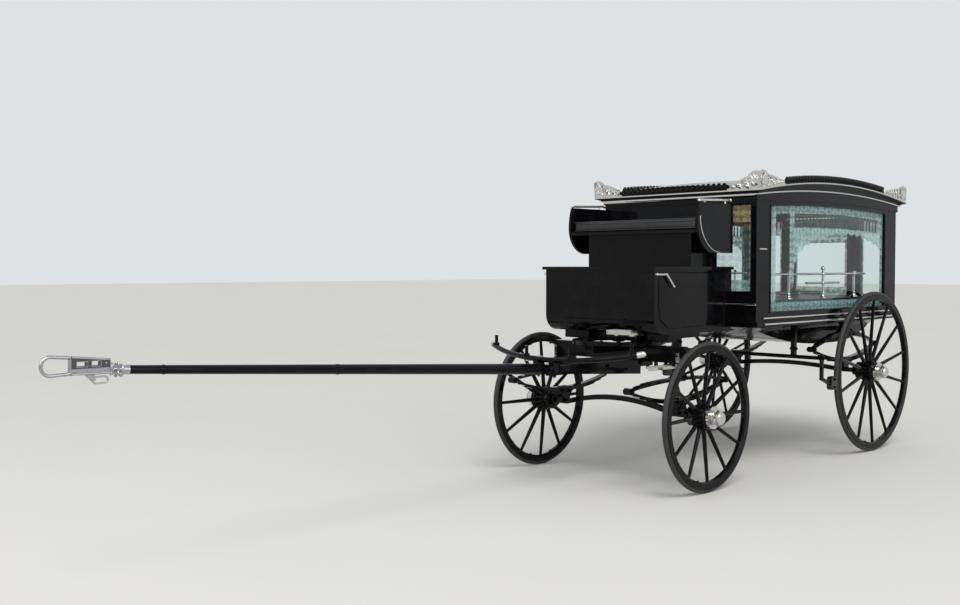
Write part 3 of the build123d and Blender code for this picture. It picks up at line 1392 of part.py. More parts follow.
# Build every piece
cornice = make_cornice()
boot = make_boot()
underbody = make_underbody()
splinter_bar = make_splinter_bar()
brake, brake_reach, brake_pivot_x = make_brake(underbody)
save(underbody, "underbody")
save(make_sill(), "floor_sill")
save(make_deck(), "coffin_deck")
near_frame = make_side_frame()
save(near_frame, "side_frame_left")
save(mirror(near_frame, Plane.XZ), "side_frame_right")
near_glass = make_side_glass()
save(make_front_frame(), "front_frame")
side_light_pane = make_side_light()
panes = [
    near_glass,
    mirror(near_glass, Plane.XZ),
    make_front_glass(),
    side_light_pane,
    mirror(side_light_pane, Plane.XZ),
]
save(Compound(children=panes), "coach_glass")
save(make_rear_frame(), "rear_frame")
save(make_hinge_posts(), "door_hinge_posts")
save(make_door_frame(), "rear_door_frame")
save(make_door_glass(), "rear_door_glass")
save(make_door_hinges(), "rear_door_hinges")
save(make_door_handle(), "rear_door_handle")
save(cornice, "cornice")
save(make_roof_panel(), "roof_panel")
save(make_roof_crest(), "roof_crest")
save(make_roof_ornaments(cornice), "roof_ornaments")
save(make_body_mouldings(cornice, boot), "body_mouldings")
save(both_sides(make_valance()), "valance")
save(both_sides(make_bier_rail()), "bier_rails")
save(make_bier_rollers(), "bier_rollers")
save(boot, "boot")
save(make_front_step(boot), "front_step")
save(both_sides(make_boot_handle()), "boot_handles")
save(make_footboard(), "footboard")
save(make_seat_box(), "seat_box")
save(make_seat_frame(), "seat_frame")
save(make_seat_cushion(), "seat_cushion")
save(both_sides(make_seat_rail()), "seat_rails")
irons = [both_sides(make_neck_iron()), both_sides(make_spring_bracket(underbody))]
save(Compound(children=irons), "body_irons")
rear_halves = [(REAR_LOWER_OPEN, REAR_LOWER_LEAVES, False), (REAR_UPPER_OPEN, REAR_UPPER_LEAVES, True)]
front_halves = [(FRONT_LOWER_OPEN, FRONT_LOWER_LEAVES, False), (FRONT_UPPER_OPEN, FRONT_UPPER_LEAVES, True)]
save(both_sides(make_spring(0, REAR_EYE_Z, REAR_HALF_SPAN, rear_halves)), "rear_springs")
save(both_sides(make_spring(WHEELBASE, FRONT_EYE_Z, FRONT_HALF_SPAN, front_halves)), "front_springs")
rear_seat = REAR_EYE_Z - REAR_LOWER_OPEN - REAR_LOWER_LEAVES * LEAF
front_seat = FRONT_EYE_Z - FRONT_LOWER_OPEN - FRONT_LOWER_LEAVES * LEAF
save(make_axle(0, REAR_RADIUS, REAR_AXLE_RISE, REAR_TRACK_HALF, rear_seat), "rear_axle")
save(make_axle(WHEELBASE, FRONT_RADIUS, FRONT_AXLE_RISE, FRONT_TRACK_HALF, front_seat), "front_axle")
save(brake, "brake_gear")
save(both_sides(make_brake_shoe(brake_reach, brake_pivot_x, brake)), "brake_shoes")
save(make_upper_turntable(), "upper_turntable")
save(make_lower_turntable(), "lower_turntable")
save(both_sides(make_bed_step()), "driver_steps")
save(make_futchells(), "futchells")
save(splinter_bar, "splinter_bar")
save(make_trace_pins(splinter_bar), "trace_pins")
save(both_sides(make_splinter_cap(splinter_bar)), "splinter_caps")
save(make_pole(), "pole")
save(make_pole_head(), "pole_head")

# Wheels, by axle and side
AXLES = [
    ("rear", 0, REAR_RADIUS, REAR_TRACK_HALF, REAR_SPOKES),
    ("front", WHEELBASE, FRONT_RADIUS, FRONT_TRACK_HALF, FRONT_SPOKES),
]
for name, x, radius, track_half, spokes in AXLES:
    pieces = {
        "wheel": make_wheel(radius, spokes),
        "tyre": make_tyre(radius),
        "hub_cap": make_hub_cap(),
    }
    for piece, shape in pieces.items():
        near = Pos(x, track_half, radius) * shape
        save(near, f"{name}_left_{piece}")
        save(mirror(near, Plane.XZ), f"{name}_right_{piece}")
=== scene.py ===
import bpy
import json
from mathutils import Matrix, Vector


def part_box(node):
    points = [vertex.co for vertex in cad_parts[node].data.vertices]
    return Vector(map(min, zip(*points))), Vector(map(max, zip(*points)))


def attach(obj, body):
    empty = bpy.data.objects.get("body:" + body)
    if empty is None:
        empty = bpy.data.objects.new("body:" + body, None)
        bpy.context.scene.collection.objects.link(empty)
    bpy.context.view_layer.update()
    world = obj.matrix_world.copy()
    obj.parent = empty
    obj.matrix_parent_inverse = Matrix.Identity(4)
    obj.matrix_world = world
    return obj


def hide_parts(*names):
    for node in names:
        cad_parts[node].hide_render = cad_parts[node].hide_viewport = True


bl_info = {
    "name": "Glass Hearse",
    "version": (1, 0, 0),
    "blender": (4, 5, 0),
    "location": "3D View > Sidebar > Hearse",
    "description": "Finishes, trim and studio for a horse-drawn glass hearse",
    "category": "Object",
}

import json
from functools import reduce
from itertools import product
from math import cos, pi, radians, sin

import bpy
from mathutils import Matrix, Vector

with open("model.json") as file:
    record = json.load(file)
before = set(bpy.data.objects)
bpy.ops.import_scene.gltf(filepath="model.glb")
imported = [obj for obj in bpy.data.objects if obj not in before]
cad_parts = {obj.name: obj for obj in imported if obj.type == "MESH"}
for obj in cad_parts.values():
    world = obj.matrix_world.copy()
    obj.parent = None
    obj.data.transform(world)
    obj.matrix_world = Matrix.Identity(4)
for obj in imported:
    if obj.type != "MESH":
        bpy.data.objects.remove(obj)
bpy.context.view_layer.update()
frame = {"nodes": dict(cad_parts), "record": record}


# Places read from the frame, in metres

def middle(node):
    """Centre of a node's box."""
    low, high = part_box(node)
    return (Vector(low) + Vector(high)) / 2


REAR_X = middle("rear_left_wheel").x
FRONT_X = middle("front_left_wheel").x
FRONT_AXLE = FRONT_X - REAR_X


def at(x, y, z):
    """Point measured forward from the rear axle, to the near side and up from the ground."""
    return Vector((REAR_X + x, y, z))


ORIGIN = Vector((0.0, 0.0, 0.0))
UP = Vector((0.0, 0.0, 1.0))
FORWARD = Vector((1.0, 0.0, 0.0))
LEFT = Vector((0.0, 1.0, 0.0))


# Sizes and colours that a user would change

class HearseStageSettings(bpy.types.PropertyGroup):
    """Camera, floor and light."""

    camera_place: bpy.props.FloatVectorProperty(
        name="Camera from rear axle", description="Camera measured from the middle of the rear axle, on the ground",
        default=(7.96, 4.46, 1.41), subtype="TRANSLATION", unit="LENGTH",
    )
    camera_heading: bpy.props.FloatProperty(
        name="Heading", description="Direction the camera looks in, from the pole's direction",
        default=radians(-134.8), subtype="ANGLE", unit="ROTATION",
    )
    camera_dip: bpy.props.FloatProperty(
        name="Dip", description="Angle the camera looks down by", default=radians(1.9), subtype="ANGLE",
        unit="ROTATION",
    )
    lens: bpy.props.FloatProperty(
        name="Lens", description="Focal length on a 36 mm wide sensor", default=40.5375, unit="CAMERA",
    )
    floor_colour: bpy.props.StringProperty(
        name="Floor colour", description="sRGB hex of the studio floor", default="#cfcdc8",
    )
    backdrop_colour: bpy.props.StringProperty(
        name="Backdrop colour", description="sRGB hex behind the object", default="#dfe2e4",
    )
    sun_strength: bpy.props.FloatProperty(
        name="Main light", description="Strength of the broad light from over the near side", default=1.5, min=0.0,
    )
    sun_spread: bpy.props.FloatProperty(
        name="Main light spread", description="Width of the broad light, which softens the shadows",
        default=radians(28.0), subtype="ANGLE", unit="ROTATION",
    )
    panel_power: bpy.props.FloatProperty(
        name="Panel lights", description="Power of the soft panels that draw the gloss", default=170.0, unit="POWER",
    )
    sky_strength: bpy.props.FloatProperty(
        name="Sky", description="Strength of the even light from all round", default=0.72, min=0.0,
    )


class HearseColours(bpy.types.PropertyGroup):
    """Colours of the finishes, as sRGB hex."""

    enamel: bpy.props.StringProperty(name="Enamel", description="Coach enamel", default="#08080a")
    plate: bpy.props.StringProperty(name="Plate", description="Nickel silver plate", default="#cfcdc9")
    steel: bpy.props.StringProperty(name="Steel", description="Polished pole head steel", default="#a9aaad")
    tyre: bpy.props.StringProperty(name="Tyre", description="Tyre rubber", default="#1e1e1f")
    leather: bpy.props.StringProperty(name="Leather", description="Seat leather", default="#0e0e10")
    frost: bpy.props.StringProperty(name="Etching", description="Etched part of the glass", default="#a8c6c4")
    gilding: bpy.props.StringProperty(name="Gilding", description="Gilt band of the front pane", default="#cbbf8e")
    cloth: bpy.props.StringProperty(name="Cloth", description="Valance and fringe", default="#131418")
    ebony: bpy.props.StringProperty(name="Deck", description="Ebonised deck wood", default="#17120f")


class HearseSoftSettings(bpy.types.PropertyGroup):
    """Cushion, valance and tassels."""

    cushion_voxel: bpy.props.FloatProperty(
        name="Cushion mesh", description="Voxel of the cushion's cloth", default=0.006, unit="LENGTH",
    )
    cushion_swell: bpy.props.FloatProperty(
        name="Cushion swell", description="Most that a point of the cushion may move", default=0.024, unit="LENGTH",
    )
    button_rows: bpy.props.IntProperty(name="Button rows", description="Rows of buttons, front to back", default=3)
    button_columns: bpy.props.IntProperty(name="Buttons in a row", description="Buttons across the seat", default=7)
    pleat_pitch: bpy.props.FloatProperty(
        name="Pleat pitch", description="Distance from one fold of the valance to the next", default=0.052,
        unit="LENGTH",
    )
    pleat_depth: bpy.props.FloatProperty(
        name="Pleat depth", description="Half depth of a fold of the valance", default=0.0055, unit="LENGTH",
    )
    tassel_length: bpy.props.FloatProperty(
        name="Tassel length", description="Length of a tassel below the valance", default=0.085, unit="LENGTH",
    )


class HearseFastenerSettings(bpy.types.PropertyGroup):
    """Nuts, bolts and rivets."""

    felloe_nut: bpy.props.FloatProperty(
        name="Felloe nut", description="Width across the flats of the nuts in the felloes", default=0.013,
        unit="LENGTH",
    )
    iron_nut: bpy.props.FloatProperty(
        name="Ironwork nut", description="Width across the flats of the nuts on springs and irons", default=0.022,
        unit="LENGTH",
    )
    rivet: bpy.props.FloatProperty(
        name="Rivet", description="Diameter of the round rivet heads", default=0.014, unit="LENGTH",
    )
    screw: bpy.props.FloatProperty(
        name="Screw", description="Diameter of the screw heads on hinges and plates", default=0.009, unit="LENGTH",
    )


def stage_settings():
    return bpy.context.scene.hearse_stage


def colours():
    return bpy.context.scene.hearse_colours


def soft_settings():
    return bpy.context.scene.hearse_soft


def fasteners():
    return bpy.context.scene.hearse_fasteners


# Modelling helpers

def deselect():
    """Leave edit mode and deselect everything."""
    if bpy.context.mode != "OBJECT":
        bpy.ops.object.mode_set(mode="OBJECT")
    bpy.ops.object.select_all(action="DESELECT")


def only(piece):
    """Select one piece alone and make it active."""
    deselect()
    piece.select_set(True)
    bpy.context.view_layer.objects.active = piece


def pick(piece, test):
    """Open a piece in edit mode with only the faces whose centre and normal pass the test."""
    only(piece)
    bpy.ops.object.mode_set(mode="EDIT")
    bpy.ops.mesh.select_mode(type="FACE")
    bpy.ops.mesh.select_all(action="DESELECT")
    bpy.ops.object.mode_set(mode="OBJECT")
    for face in piece.data.polygons:
        face.select = test(face.center, face.normal)
    bpy.ops.object.mode_set(mode="EDIT")


def settle(piece):
    """Put a piece's place, turn and scale into its mesh."""
    only(piece)
    bpy.ops.object.transform_apply(location=True, rotation=True, scale=True)
    return piece


def work(piece, kind, **settings):
    """Add a modifier with its settings and apply it."""
    only(piece)
    bpy.ops.object.modifier_add(type=kind)
    modifier = piece.modifiers[-1]
    for key, value in settings.items():
        setattr(modifier, key, value)
    bpy.ops.object.modifier_apply(modifier=modifier.name)


def face_outwards(piece):
    """Merge a piece's doubles and point its faces outwards."""
    only(piece)
    bpy.ops.object.mode_set(mode="EDIT")
    bpy.ops.mesh.select_all(action="SELECT")
    bpy.ops.mesh.remove_doubles(threshold=0.00002)
    bpy.ops.mesh.normals_make_consistent(inside=False)
    bpy.ops.object.mode_set(mode="OBJECT")


def joined(pieces):
    """One piece from several, with its place in its mesh."""
    deselect()
    for piece in pieces:
        piece.select_set(True)
    bpy.context.view_layer.objects.active = pieces[0]
    if len(pieces) > 1:
        bpy.ops.object.join()
    return settle(bpy.context.object)


def repeated(source, places):
    """Copies of a piece at the given matrices, each with its own mesh, joined into one."""
    copies = []
    for place in places:
        twin = source.copy()
        twin.data = source.data.copy()
        bpy.context.collection.objects.link(twin)
        twin.matrix_world = place
        copies.append(twin)
    bpy.data.objects.remove(source)
    return joined(copies)


def pointing(place, direction):
    """Matrix that moves a piece to a place and points its Z along a direction."""
    return Matrix.Translation(place) @ direction.to_track_quat("Z", "Y").to_matrix().to_4x4()


def finished(piece, name, slot, body, smooth=32.0):
    """Name a piece, smooth it, give it its finish and let it ride on its body."""
    only(piece)
    bpy.ops.object.shade_smooth_by_angle(angle=radians(smooth))
    piece.name = name
    piece.data.materials.clear()
    piece.data.materials.append(finish_for(slot))
    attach(piece, body)
    return piece


def bar(points, radius, closed=False, sides=2):
    """Round bar through points: a vertex extruded from one to the next, then given thickness."""
    deselect()
    bpy.ops.mesh.primitive_plane_add(size=0.001, location=points[0])
    line = bpy.context.object
    bpy.ops.object.mode_set(mode="EDIT")
    bpy.ops.mesh.select_mode(type="VERT")
    bpy.ops.mesh.select_all(action="SELECT")
    bpy.ops.mesh.merge(type="CENTER")
    stops = list(points) + ([points[0]] if closed else [])
    for before, after in zip(stops, stops[1:]):
        step = Vector(after) - Vector(before)
        bpy.ops.mesh.extrude_region_move(TRANSFORM_OT_translate={"value": step})
    bpy.ops.mesh.select_all(action="SELECT")
    bpy.ops.mesh.remove_doubles(threshold=0.00002)
    bpy.ops.object.mode_set(mode="OBJECT")
    bpy.ops.object.convert(target="CURVE")
    line = bpy.context.object
    line.data.dimensions = "3D"
    line.data.bevel_depth = radius
    line.data.bevel_resolution = sides
    line.data.use_fill_caps = True
    bpy.ops.object.convert(target="MESH")
    piece = settle(bpy.context.object)
    face_outwards(piece)
    return piece


def turned(profile, place=ORIGIN, direction=UP, segments=20):
    """Lathe work: a vertex extruded along a profile of radius and height, spun about its axis."""
    deselect()
    bpy.ops.mesh.primitive_plane_add(size=0.001, location=(profile[0][0], 0.0, profile[0][1]))
    piece = bpy.context.object
    settle(piece)
    bpy.ops.object.mode_set(mode="EDIT")
    bpy.ops.mesh.select_mode(type="VERT")
    bpy.ops.mesh.select_all(action="SELECT")
    bpy.ops.mesh.merge(type="CENTER")
    for before, after in zip(profile, profile[1:]):
        step = (after[0] - before[0], 0.0, after[1] - before[1])
        bpy.ops.mesh.extrude_region_move(TRANSFORM_OT_translate={"value": step})
    bpy.ops.mesh.select_all(action="SELECT")
    bpy.ops.mesh.spin(steps=segments, angle=2 * pi, center=(0.0, 0.0, 0.0), axis=(0.0, 0.0, 1.0))
    bpy.ops.object.mode_set(mode="OBJECT")
    face_outwards(piece)
    piece.matrix_world = pointing(place, direction)
    return settle(piece)


def nut(across, height, thread):
    """Chamfered hexagon nut on a stud that stands a little proud of it, base at z = 0."""
    deselect()
    bpy.ops.mesh.primitive_cylinder_add(
        vertices=6, radius=across / 2 / cos(pi / 6), depth=height, location=(0.0, 0.0, height / 2),
    )
    piece = bpy.context.object
    settle(piece)
    pick(piece, lambda centre, normal: normal.z > 0.9)
    bpy.ops.mesh.inset(thickness=across * 0.06)
    bpy.ops.transform.translate(value=(0.0, 0.0, height * 0.12))
    bpy.ops.mesh.inset(thickness=across * 0.15)
    bpy.ops.mesh.extrude_region_move(TRANSFORM_OT_translate={"value": (0.0, 0.0, thread)})
    bpy.ops.mesh.inset(thickness=across * 0.05)
    bpy.ops.transform.translate(value=(0.0, 0.0, thread * 0.3))
    bpy.ops.object.mode_set(mode="OBJECT")
    return piece


def round_head(diameter, height, segments=10):
    """Domed rivet or screw head, base at z = 0."""
    radius = diameter / 2
    profile = [(radius, 0.0), (radius * 0.96, height * 0.35), (radius * 0.7, height * 0.8), (radius * 0.3, height)]
    profile.append((0.0, height * 1.03))
    return turned(profile, segments=segments)


# Material helpers

def linear(code):
    """Linear colour of an sRGB hex code."""
    parts = [int(code[i:i + 2], 16) / 255 for i in (1, 3, 5)]
    return tuple(c / 12.92 if c <= 0.04045 else ((c + 0.055) / 1.055) ** 2.4 for c in parts) + (1.0,)


def add_node(tree, kind, settings=None, links=None):
    """Add a node, with its properties and socket values, and link its inputs."""
    item = tree.nodes.new(kind)
    for key, value in (settings or {}).items():
        if isinstance(key, str) and hasattr(item, key):
            setattr(item, key, value)
        else:
            item.inputs[key].default_value = value
    for key, source in (links or {}).items():
        tree.links.new(source, item.inputs[key])
    return item


def new_material(name):
    """Empty material, its node tree and the object's coordinates in metres."""
    material = bpy.data.materials.new(name)
    material.use_nodes = True
    tree = material.node_tree
    tree.nodes.clear()
    return material, tree, add_node(tree, "ShaderNodeTexCoord").outputs["Object"]


def surfaced(material, shader):
    """Show a shader on a material."""
    add_node(material.node_tree, "ShaderNodeOutputMaterial", None, {"Surface": shader.outputs[0]})
    return material


def principled(material, settings, links=None):
    """Show one Principled shader on a material."""
    return surfaced(material, add_node(material.node_tree, "ShaderNodeBsdfPrincipled", settings, links))


def split(tree, vector):
    """The x, y and z of a link."""
    return add_node(tree, "ShaderNodeSeparateXYZ", None, {"Vector": vector}).outputs


def stretched(tree, place, length):
    """Coordinates that draw a texture out along the x axis, where length is below 1."""
    return add_node(tree, "ShaderNodeMapping", {"Scale": (length, 1.0, 1.0)}, {"Vector": place}).outputs[0]


def noise(tree, place, millimetres, detail=3.0, rough=0.5):
    """Noise with features of about that size."""
    return add_node(
        tree, "ShaderNodeTexNoise",
        {"Scale": 1000.0 / millimetres, "Detail": detail, "Roughness": rough}, {"Vector": place},
    ).outputs["Fac"]


def remap(tree, value, low, high, new_low=0.0, new_high=1.0):
    """Value moved from one range to another with soft ends, kept within it."""
    return add_node(
        tree, "ShaderNodeMapRange",
        {
            "interpolation_type": "SMOOTHSTEP",
            "From Min": low, "From Max": high, "To Min": new_low, "To Max": new_high,
        },
        {"Value": value},
    ).outputs["Result"]


def patches(tree, place, millimetres, detail, rough, low, high):
    """Cloudy patches: 0 where a noise is under the low level, 1 where it is over the high one."""
    return remap(tree, noise(tree, place, millimetres, detail, rough), low, high)


def math(tree, operation, first, second=0.0, third=None):
    """One sum on values or links."""
    item = add_node(tree, "ShaderNodeMath", {"operation": operation})
    for index, value in enumerate((first, second, third)):
        if isinstance(value, (int, float)):
            item.inputs[index].default_value = value
        elif value is not None:
            tree.links.new(value, item.inputs[index])
    return item.outputs[0]


def blend_colours(tree, share, first, second):
    """Colour mixed from two, each a hex code or a link."""
    item = add_node(tree, "ShaderNodeMix", {"data_type": "RGBA"}, {0: share})
    for index, value in ((6, first), (7, second)):
        if isinstance(value, str):
            item.inputs[index].default_value = linear(value)
        else:
            tree.links.new(value, item.inputs[index])
    return item.outputs[2]


def bump(tree, height, depth_mm, strength=1.0):
    """Normal of a relief of that depth."""
    return add_node(
        tree, "ShaderNodeBump", {"Strength": strength, "Distance": depth_mm / 1000}, {"Height": height},
    ).outputs["Normal"]


def inside(tree, value, low, high, soft=0.003):
    """1 where a value lies between two limits, with a soft edge."""
    above = remap(tree, value, low - soft, low + soft)
    below = remap(tree, value, high - soft, high + soft, 1.0, 0.0)
    return times(tree, above, below)


def times(tree, *values):
    """Product of values and links."""
    return reduce(lambda one, other: math(tree, "MULTIPLY", one, other), values)


def largest(tree, *values):
    """Largest of values and links."""
    return reduce(lambda one, other: math(tree, "MAXIMUM", one, other), values)


# Shapes that the finishes and the trim share, in metres from the rear axle, the middle and the ground

COACH_MIDDLE = 0.515
COACH_HALF_LENGTH = 1.055
SIDE_RISE = 0.035
SIDE_FACE = 0.6405
FRONT_FACE = 1.5705
REAR_FACE = -0.5405
# Behind the first and before the second of these, glass belongs to an end of the coach
REAR_END, FRONT_END = -0.5, 1.5
# Panes as they show: along or across from and to, low and high
SIDE_PANE = (-0.340, 1.390, 1.100, 1.850)
FRONT_PANE = (-0.600, 0.600, 1.240, 1.830)
REAR_LIGHT = (0.354, 0.600, 1.110, 1.800)
DOOR_PANE = (-0.239, 0.239, 1.161, 1.729)
# Etched pattern: foot band, from one flower and one leaf to the next
FOOT_BAND = (1.000, 1.162)
FLOWER_PITCH = 0.052
LEAF_PITCH = 0.0208
# Cornice, which carries the ornaments and the crest
ROOF_REAR, ROOF_FRONT = -0.596, 1.626
ROOF_HALF_WIDTH = 0.696


# Finishes

def coach_enamel():
    """Black coach enamel, brushed in many coats and varnished: deep gloss, a faint wave and a little road dust."""
    material, tree, place = new_material("Brushed coach enamel")
    wave = noise(tree, place, 180.0, 2.0)
    peel = noise(tree, place, 6.0, 2.0)
    dust = patches(tree, place, 90.0, 6.0, 0.65, 0.45, 0.75)
    height = math(tree, "ADD", wave, times(tree, peel, 0.03))
    return principled(
        material,
        {"IOR": 1.5, "Specular IOR Level": 0.06, "Coat Weight": 0.3, "Coat Roughness": 0.03, "Coat IOR": 1.35},
        {
            "Base Color": blend_colours(tree, times(tree, dust, 0.22), colours().enamel, "#242427"),
            "Roughness": remap(tree, dust, 0.0, 1.0, 0.16, 0.32),
            "Normal": bump(tree, height, 1.2, 0.35), "Coat Normal": bump(tree, height, 0.8, 0.3),
        },
    )


def nickel_silver_plate():
    """Nickel silver plate on brass, buffed by hand: bright, slightly warm, with fine swirls and dull hollows."""
    material, tree, place = new_material("Buffed nickel silver plate")
    swirl = noise(tree, place, 12.0, 4.0)
    tarnish = patches(tree, place, 45.0, 5.0, 0.6, 0.5, 0.78)
    return principled(
        material, {"Metallic": 1.0},
        {
            "Base Color": blend_colours(tree, times(tree, tarnish, 0.3), colours().plate, "#8f8c85"),
            "Roughness": remap(tree, swirl, 0.3, 0.7, 0.1, 0.22), "Normal": bump(tree, swirl, 0.3, 0.25),
        },
    )


def polished_steel():
    """Forged steel, ground and polished: bright, cooler than the plate, with grinding lines and dark spots."""
    material, tree, place = new_material("Ground and polished steel")
    lines = noise(tree, stretched(tree, place, 0.15), 3.0, 4.0)
    x, y, z = split(tree, place)
    # Painted shade: the plate between the bars of the pole head is darkened, to look as dark as the holes in it
    painted_shade_between_bars = times(
        tree, inside(tree, math(tree, "SUBTRACT", x, REAR_X), 5.803, 5.976, 0.002),
        inside(tree, y, -0.0133, 0.0133, 0.0003), inside(tree, z, 0.975, 1.030),
    )
    spots = patches(tree, place, 14.0, 6.0, 0.7, 0.6, 0.75)
    colour = blend_colours(tree, times(tree, spots, 0.5), colours().steel, "#5a5855")
    return principled(
        material, {"Metallic": 1.0},
        {
            # The base colour carries painted shade on the plate between the bars of the pole head
            "Base Color": blend_colours(tree, times(tree, painted_shade_between_bars, 0.8), colour, "#2b2c2f"),
            "Roughness": remap(tree, lines, 0.3, 0.7, 0.16, 0.28), "Normal": bump(tree, lines, 0.1, 0.12),
        },
    )


def carriage_rubber():
    """Solid carriage rubber, extruded and wired on: dark grey, dull, with dust worked into it."""
    material, tree, place = new_material("Extruded carriage rubber")
    dust = patches(tree, place, 35.0, 6.0, 0.7, 0.35, 0.75)
    return principled(
        material, {"IOR": 1.5},
        {
            "Base Color": blend_colours(tree, times(tree, dust, 0.4), colours().tyre, "#4a4743"),
            "Roughness": remap(tree, dust, 0.0, 1.0, 0.55, 0.85),
            "Normal": bump(tree, noise(tree, place, 2.0, 3.0), 0.3, 0.4),
        },
    )


def flowers_and_vines(tree, place):
    """Etched flowers about 40 mm across on waving stems with leaves, drawn along a pane and up it."""
    x, y, z = split(tree, place)
    along = math(tree, "ADD", x, y)
    flat = add_node(tree, "ShaderNodeCombineXYZ", None, {"X": along, "Y": z}).outputs[0]
    cells = add_node(
        tree, "ShaderNodeTexVoronoi", {"voronoi_dimensions": "2D", "Scale": 1 / FLOWER_PITCH, "Randomness": 0.35},
        {"Vector": flat},
    ).outputs
    away = add_node(tree, "ShaderNodeVectorMath", {"operation": "SUBTRACT"}, {0: flat, 1: cells["Position"]}).outputs[0]
    du, dv, _ = split(tree, away)
    length = add_node(tree, "ShaderNodeVectorMath", {"operation": "LENGTH"}, {0: away}).outputs["Value"]
    turn = times(tree, math(tree, "ARCTAN2", dv, du), 5.0)
    petal = math(tree, "MULTIPLY_ADD", math(tree, "COSINE", turn), 0.0055, 0.0150)
    flower = remap(tree, math(tree, "SUBTRACT", petal, length), -0.001, 0.001)
    heart = remap(tree, length, 0.0045, 0.006)

    sway = times(tree, math(tree, "SINE", times(tree, along, pi / FLOWER_PITCH)), 0.009)
    across = math(tree, "WRAP", math(tree, "ADD", z, sway), FLOWER_PITCH / 2, -FLOWER_PITCH / 2)
    stem = remap(tree, math(tree, "ABSOLUTE", across), 0.0012, 0.0022, 1.0, 0.0)
    run = math(tree, "WRAP", along, LEAF_PITCH / 2, -LEAF_PITCH / 2)
    flank = math(tree, "SIGN", math(tree, "SINE", times(tree, along, pi / LEAF_PITCH)))
    off = math(tree, "SUBTRACT", times(tree, across, flank), 0.0062)
    long_way = math(tree, "ADD", times(tree, run, 0.80), times(tree, off, 0.60))
    short_way = math(tree, "SUBTRACT", times(tree, off, 0.80), times(tree, run, 0.60))
    squares = [
        math(tree, "POWER", math(tree, "DIVIDE", math(tree, "ABSOLUTE", way), half), 2.0)
        for way, half in ((long_way, 0.0078), (short_way, 0.0034))
    ]
    leaf = remap(tree, math(tree, "ADD", *squares), 0.85, 1.1, 1.0, 0.0)
    trail = times(tree, largest(tree, stem, leaf), remap(tree, length, 0.017, 0.020, 0.0, 0.8))
    return largest(tree, times(tree, flower, heart), trail)


def side_pane_etching(tree, along, height):
    """Where a side pane is etched: scalloped spandrels over an arched clear field, upright strips and a foot band."""
    arch_middle, arch_half_span, springing, arch_rise = 0.30, 0.74, 1.385, 0.255
    share = math(tree, "DIVIDE", math(tree, "SUBTRACT", along, arch_middle), arch_half_span)
    fall = math(tree, "SQRT", largest(tree, math(tree, "SUBTRACT", 1.0, times(tree, share, share)), 0.0))
    scallop = math(tree, "ABSOLUTE", math(tree, "SINE", times(tree, along, 34.0)))
    arch = math(tree, "ADD", math(tree, "MULTIPLY_ADD", fall, arch_rise, springing), times(tree, scallop, 0.02))
    over = remap(tree, math(tree, "SUBTRACT", height, arch), -0.003, 0.003)
    spandrel = times(tree, over, inside(tree, along, REAR_END, 1.10))
    leg = times(tree, inside(tree, along, 1.045, 1.10), inside(tree, height, 1.28, 1.42, 0.05))
    front_strip = inside(tree, along, 1.29, FRONT_END)
    rear_strip = inside(tree, along, REAR_END, -0.305)
    field = largest(tree, spandrel, leg, front_strip, rear_strip, inside(tree, height, *FOOT_BAND))
    middle_out = math(tree, "DIVIDE", math(tree, "SUBTRACT", along, COACH_MIDDLE), COACH_HALF_LENGTH)
    level = math(tree, "MULTIPLY_ADD", times(tree, middle_out, middle_out), SIDE_RISE, height)
    drape = times(tree, inside(tree, level, 1.692, 1.792), inside(tree, along, -0.285, 1.04, 0.02))
    bare = times(tree, field, math(tree, "MULTIPLY_ADD", drape, -0.88, 1.0))
    return largest(tree, bare, times(tree, inside(tree, level, 1.792, 2.0), 0.75))


def end_pane_etching(tree, across, height, pane):
    """Where an upright pane is etched: a border all round with a deep head and foot."""
    start, stop, low, high = pane
    middle_out = math(tree, "ABSOLUTE", math(tree, "SUBTRACT", across, (start + stop) / 2))
    half_width = (stop - start) / 2
    head = inside(tree, height, high - 0.12, high + 0.1)
    foot = inside(tree, height, low - 0.1, low + 0.08)
    return largest(tree, head, foot, remap(tree, middle_out, half_width - 0.026, half_width - 0.022))


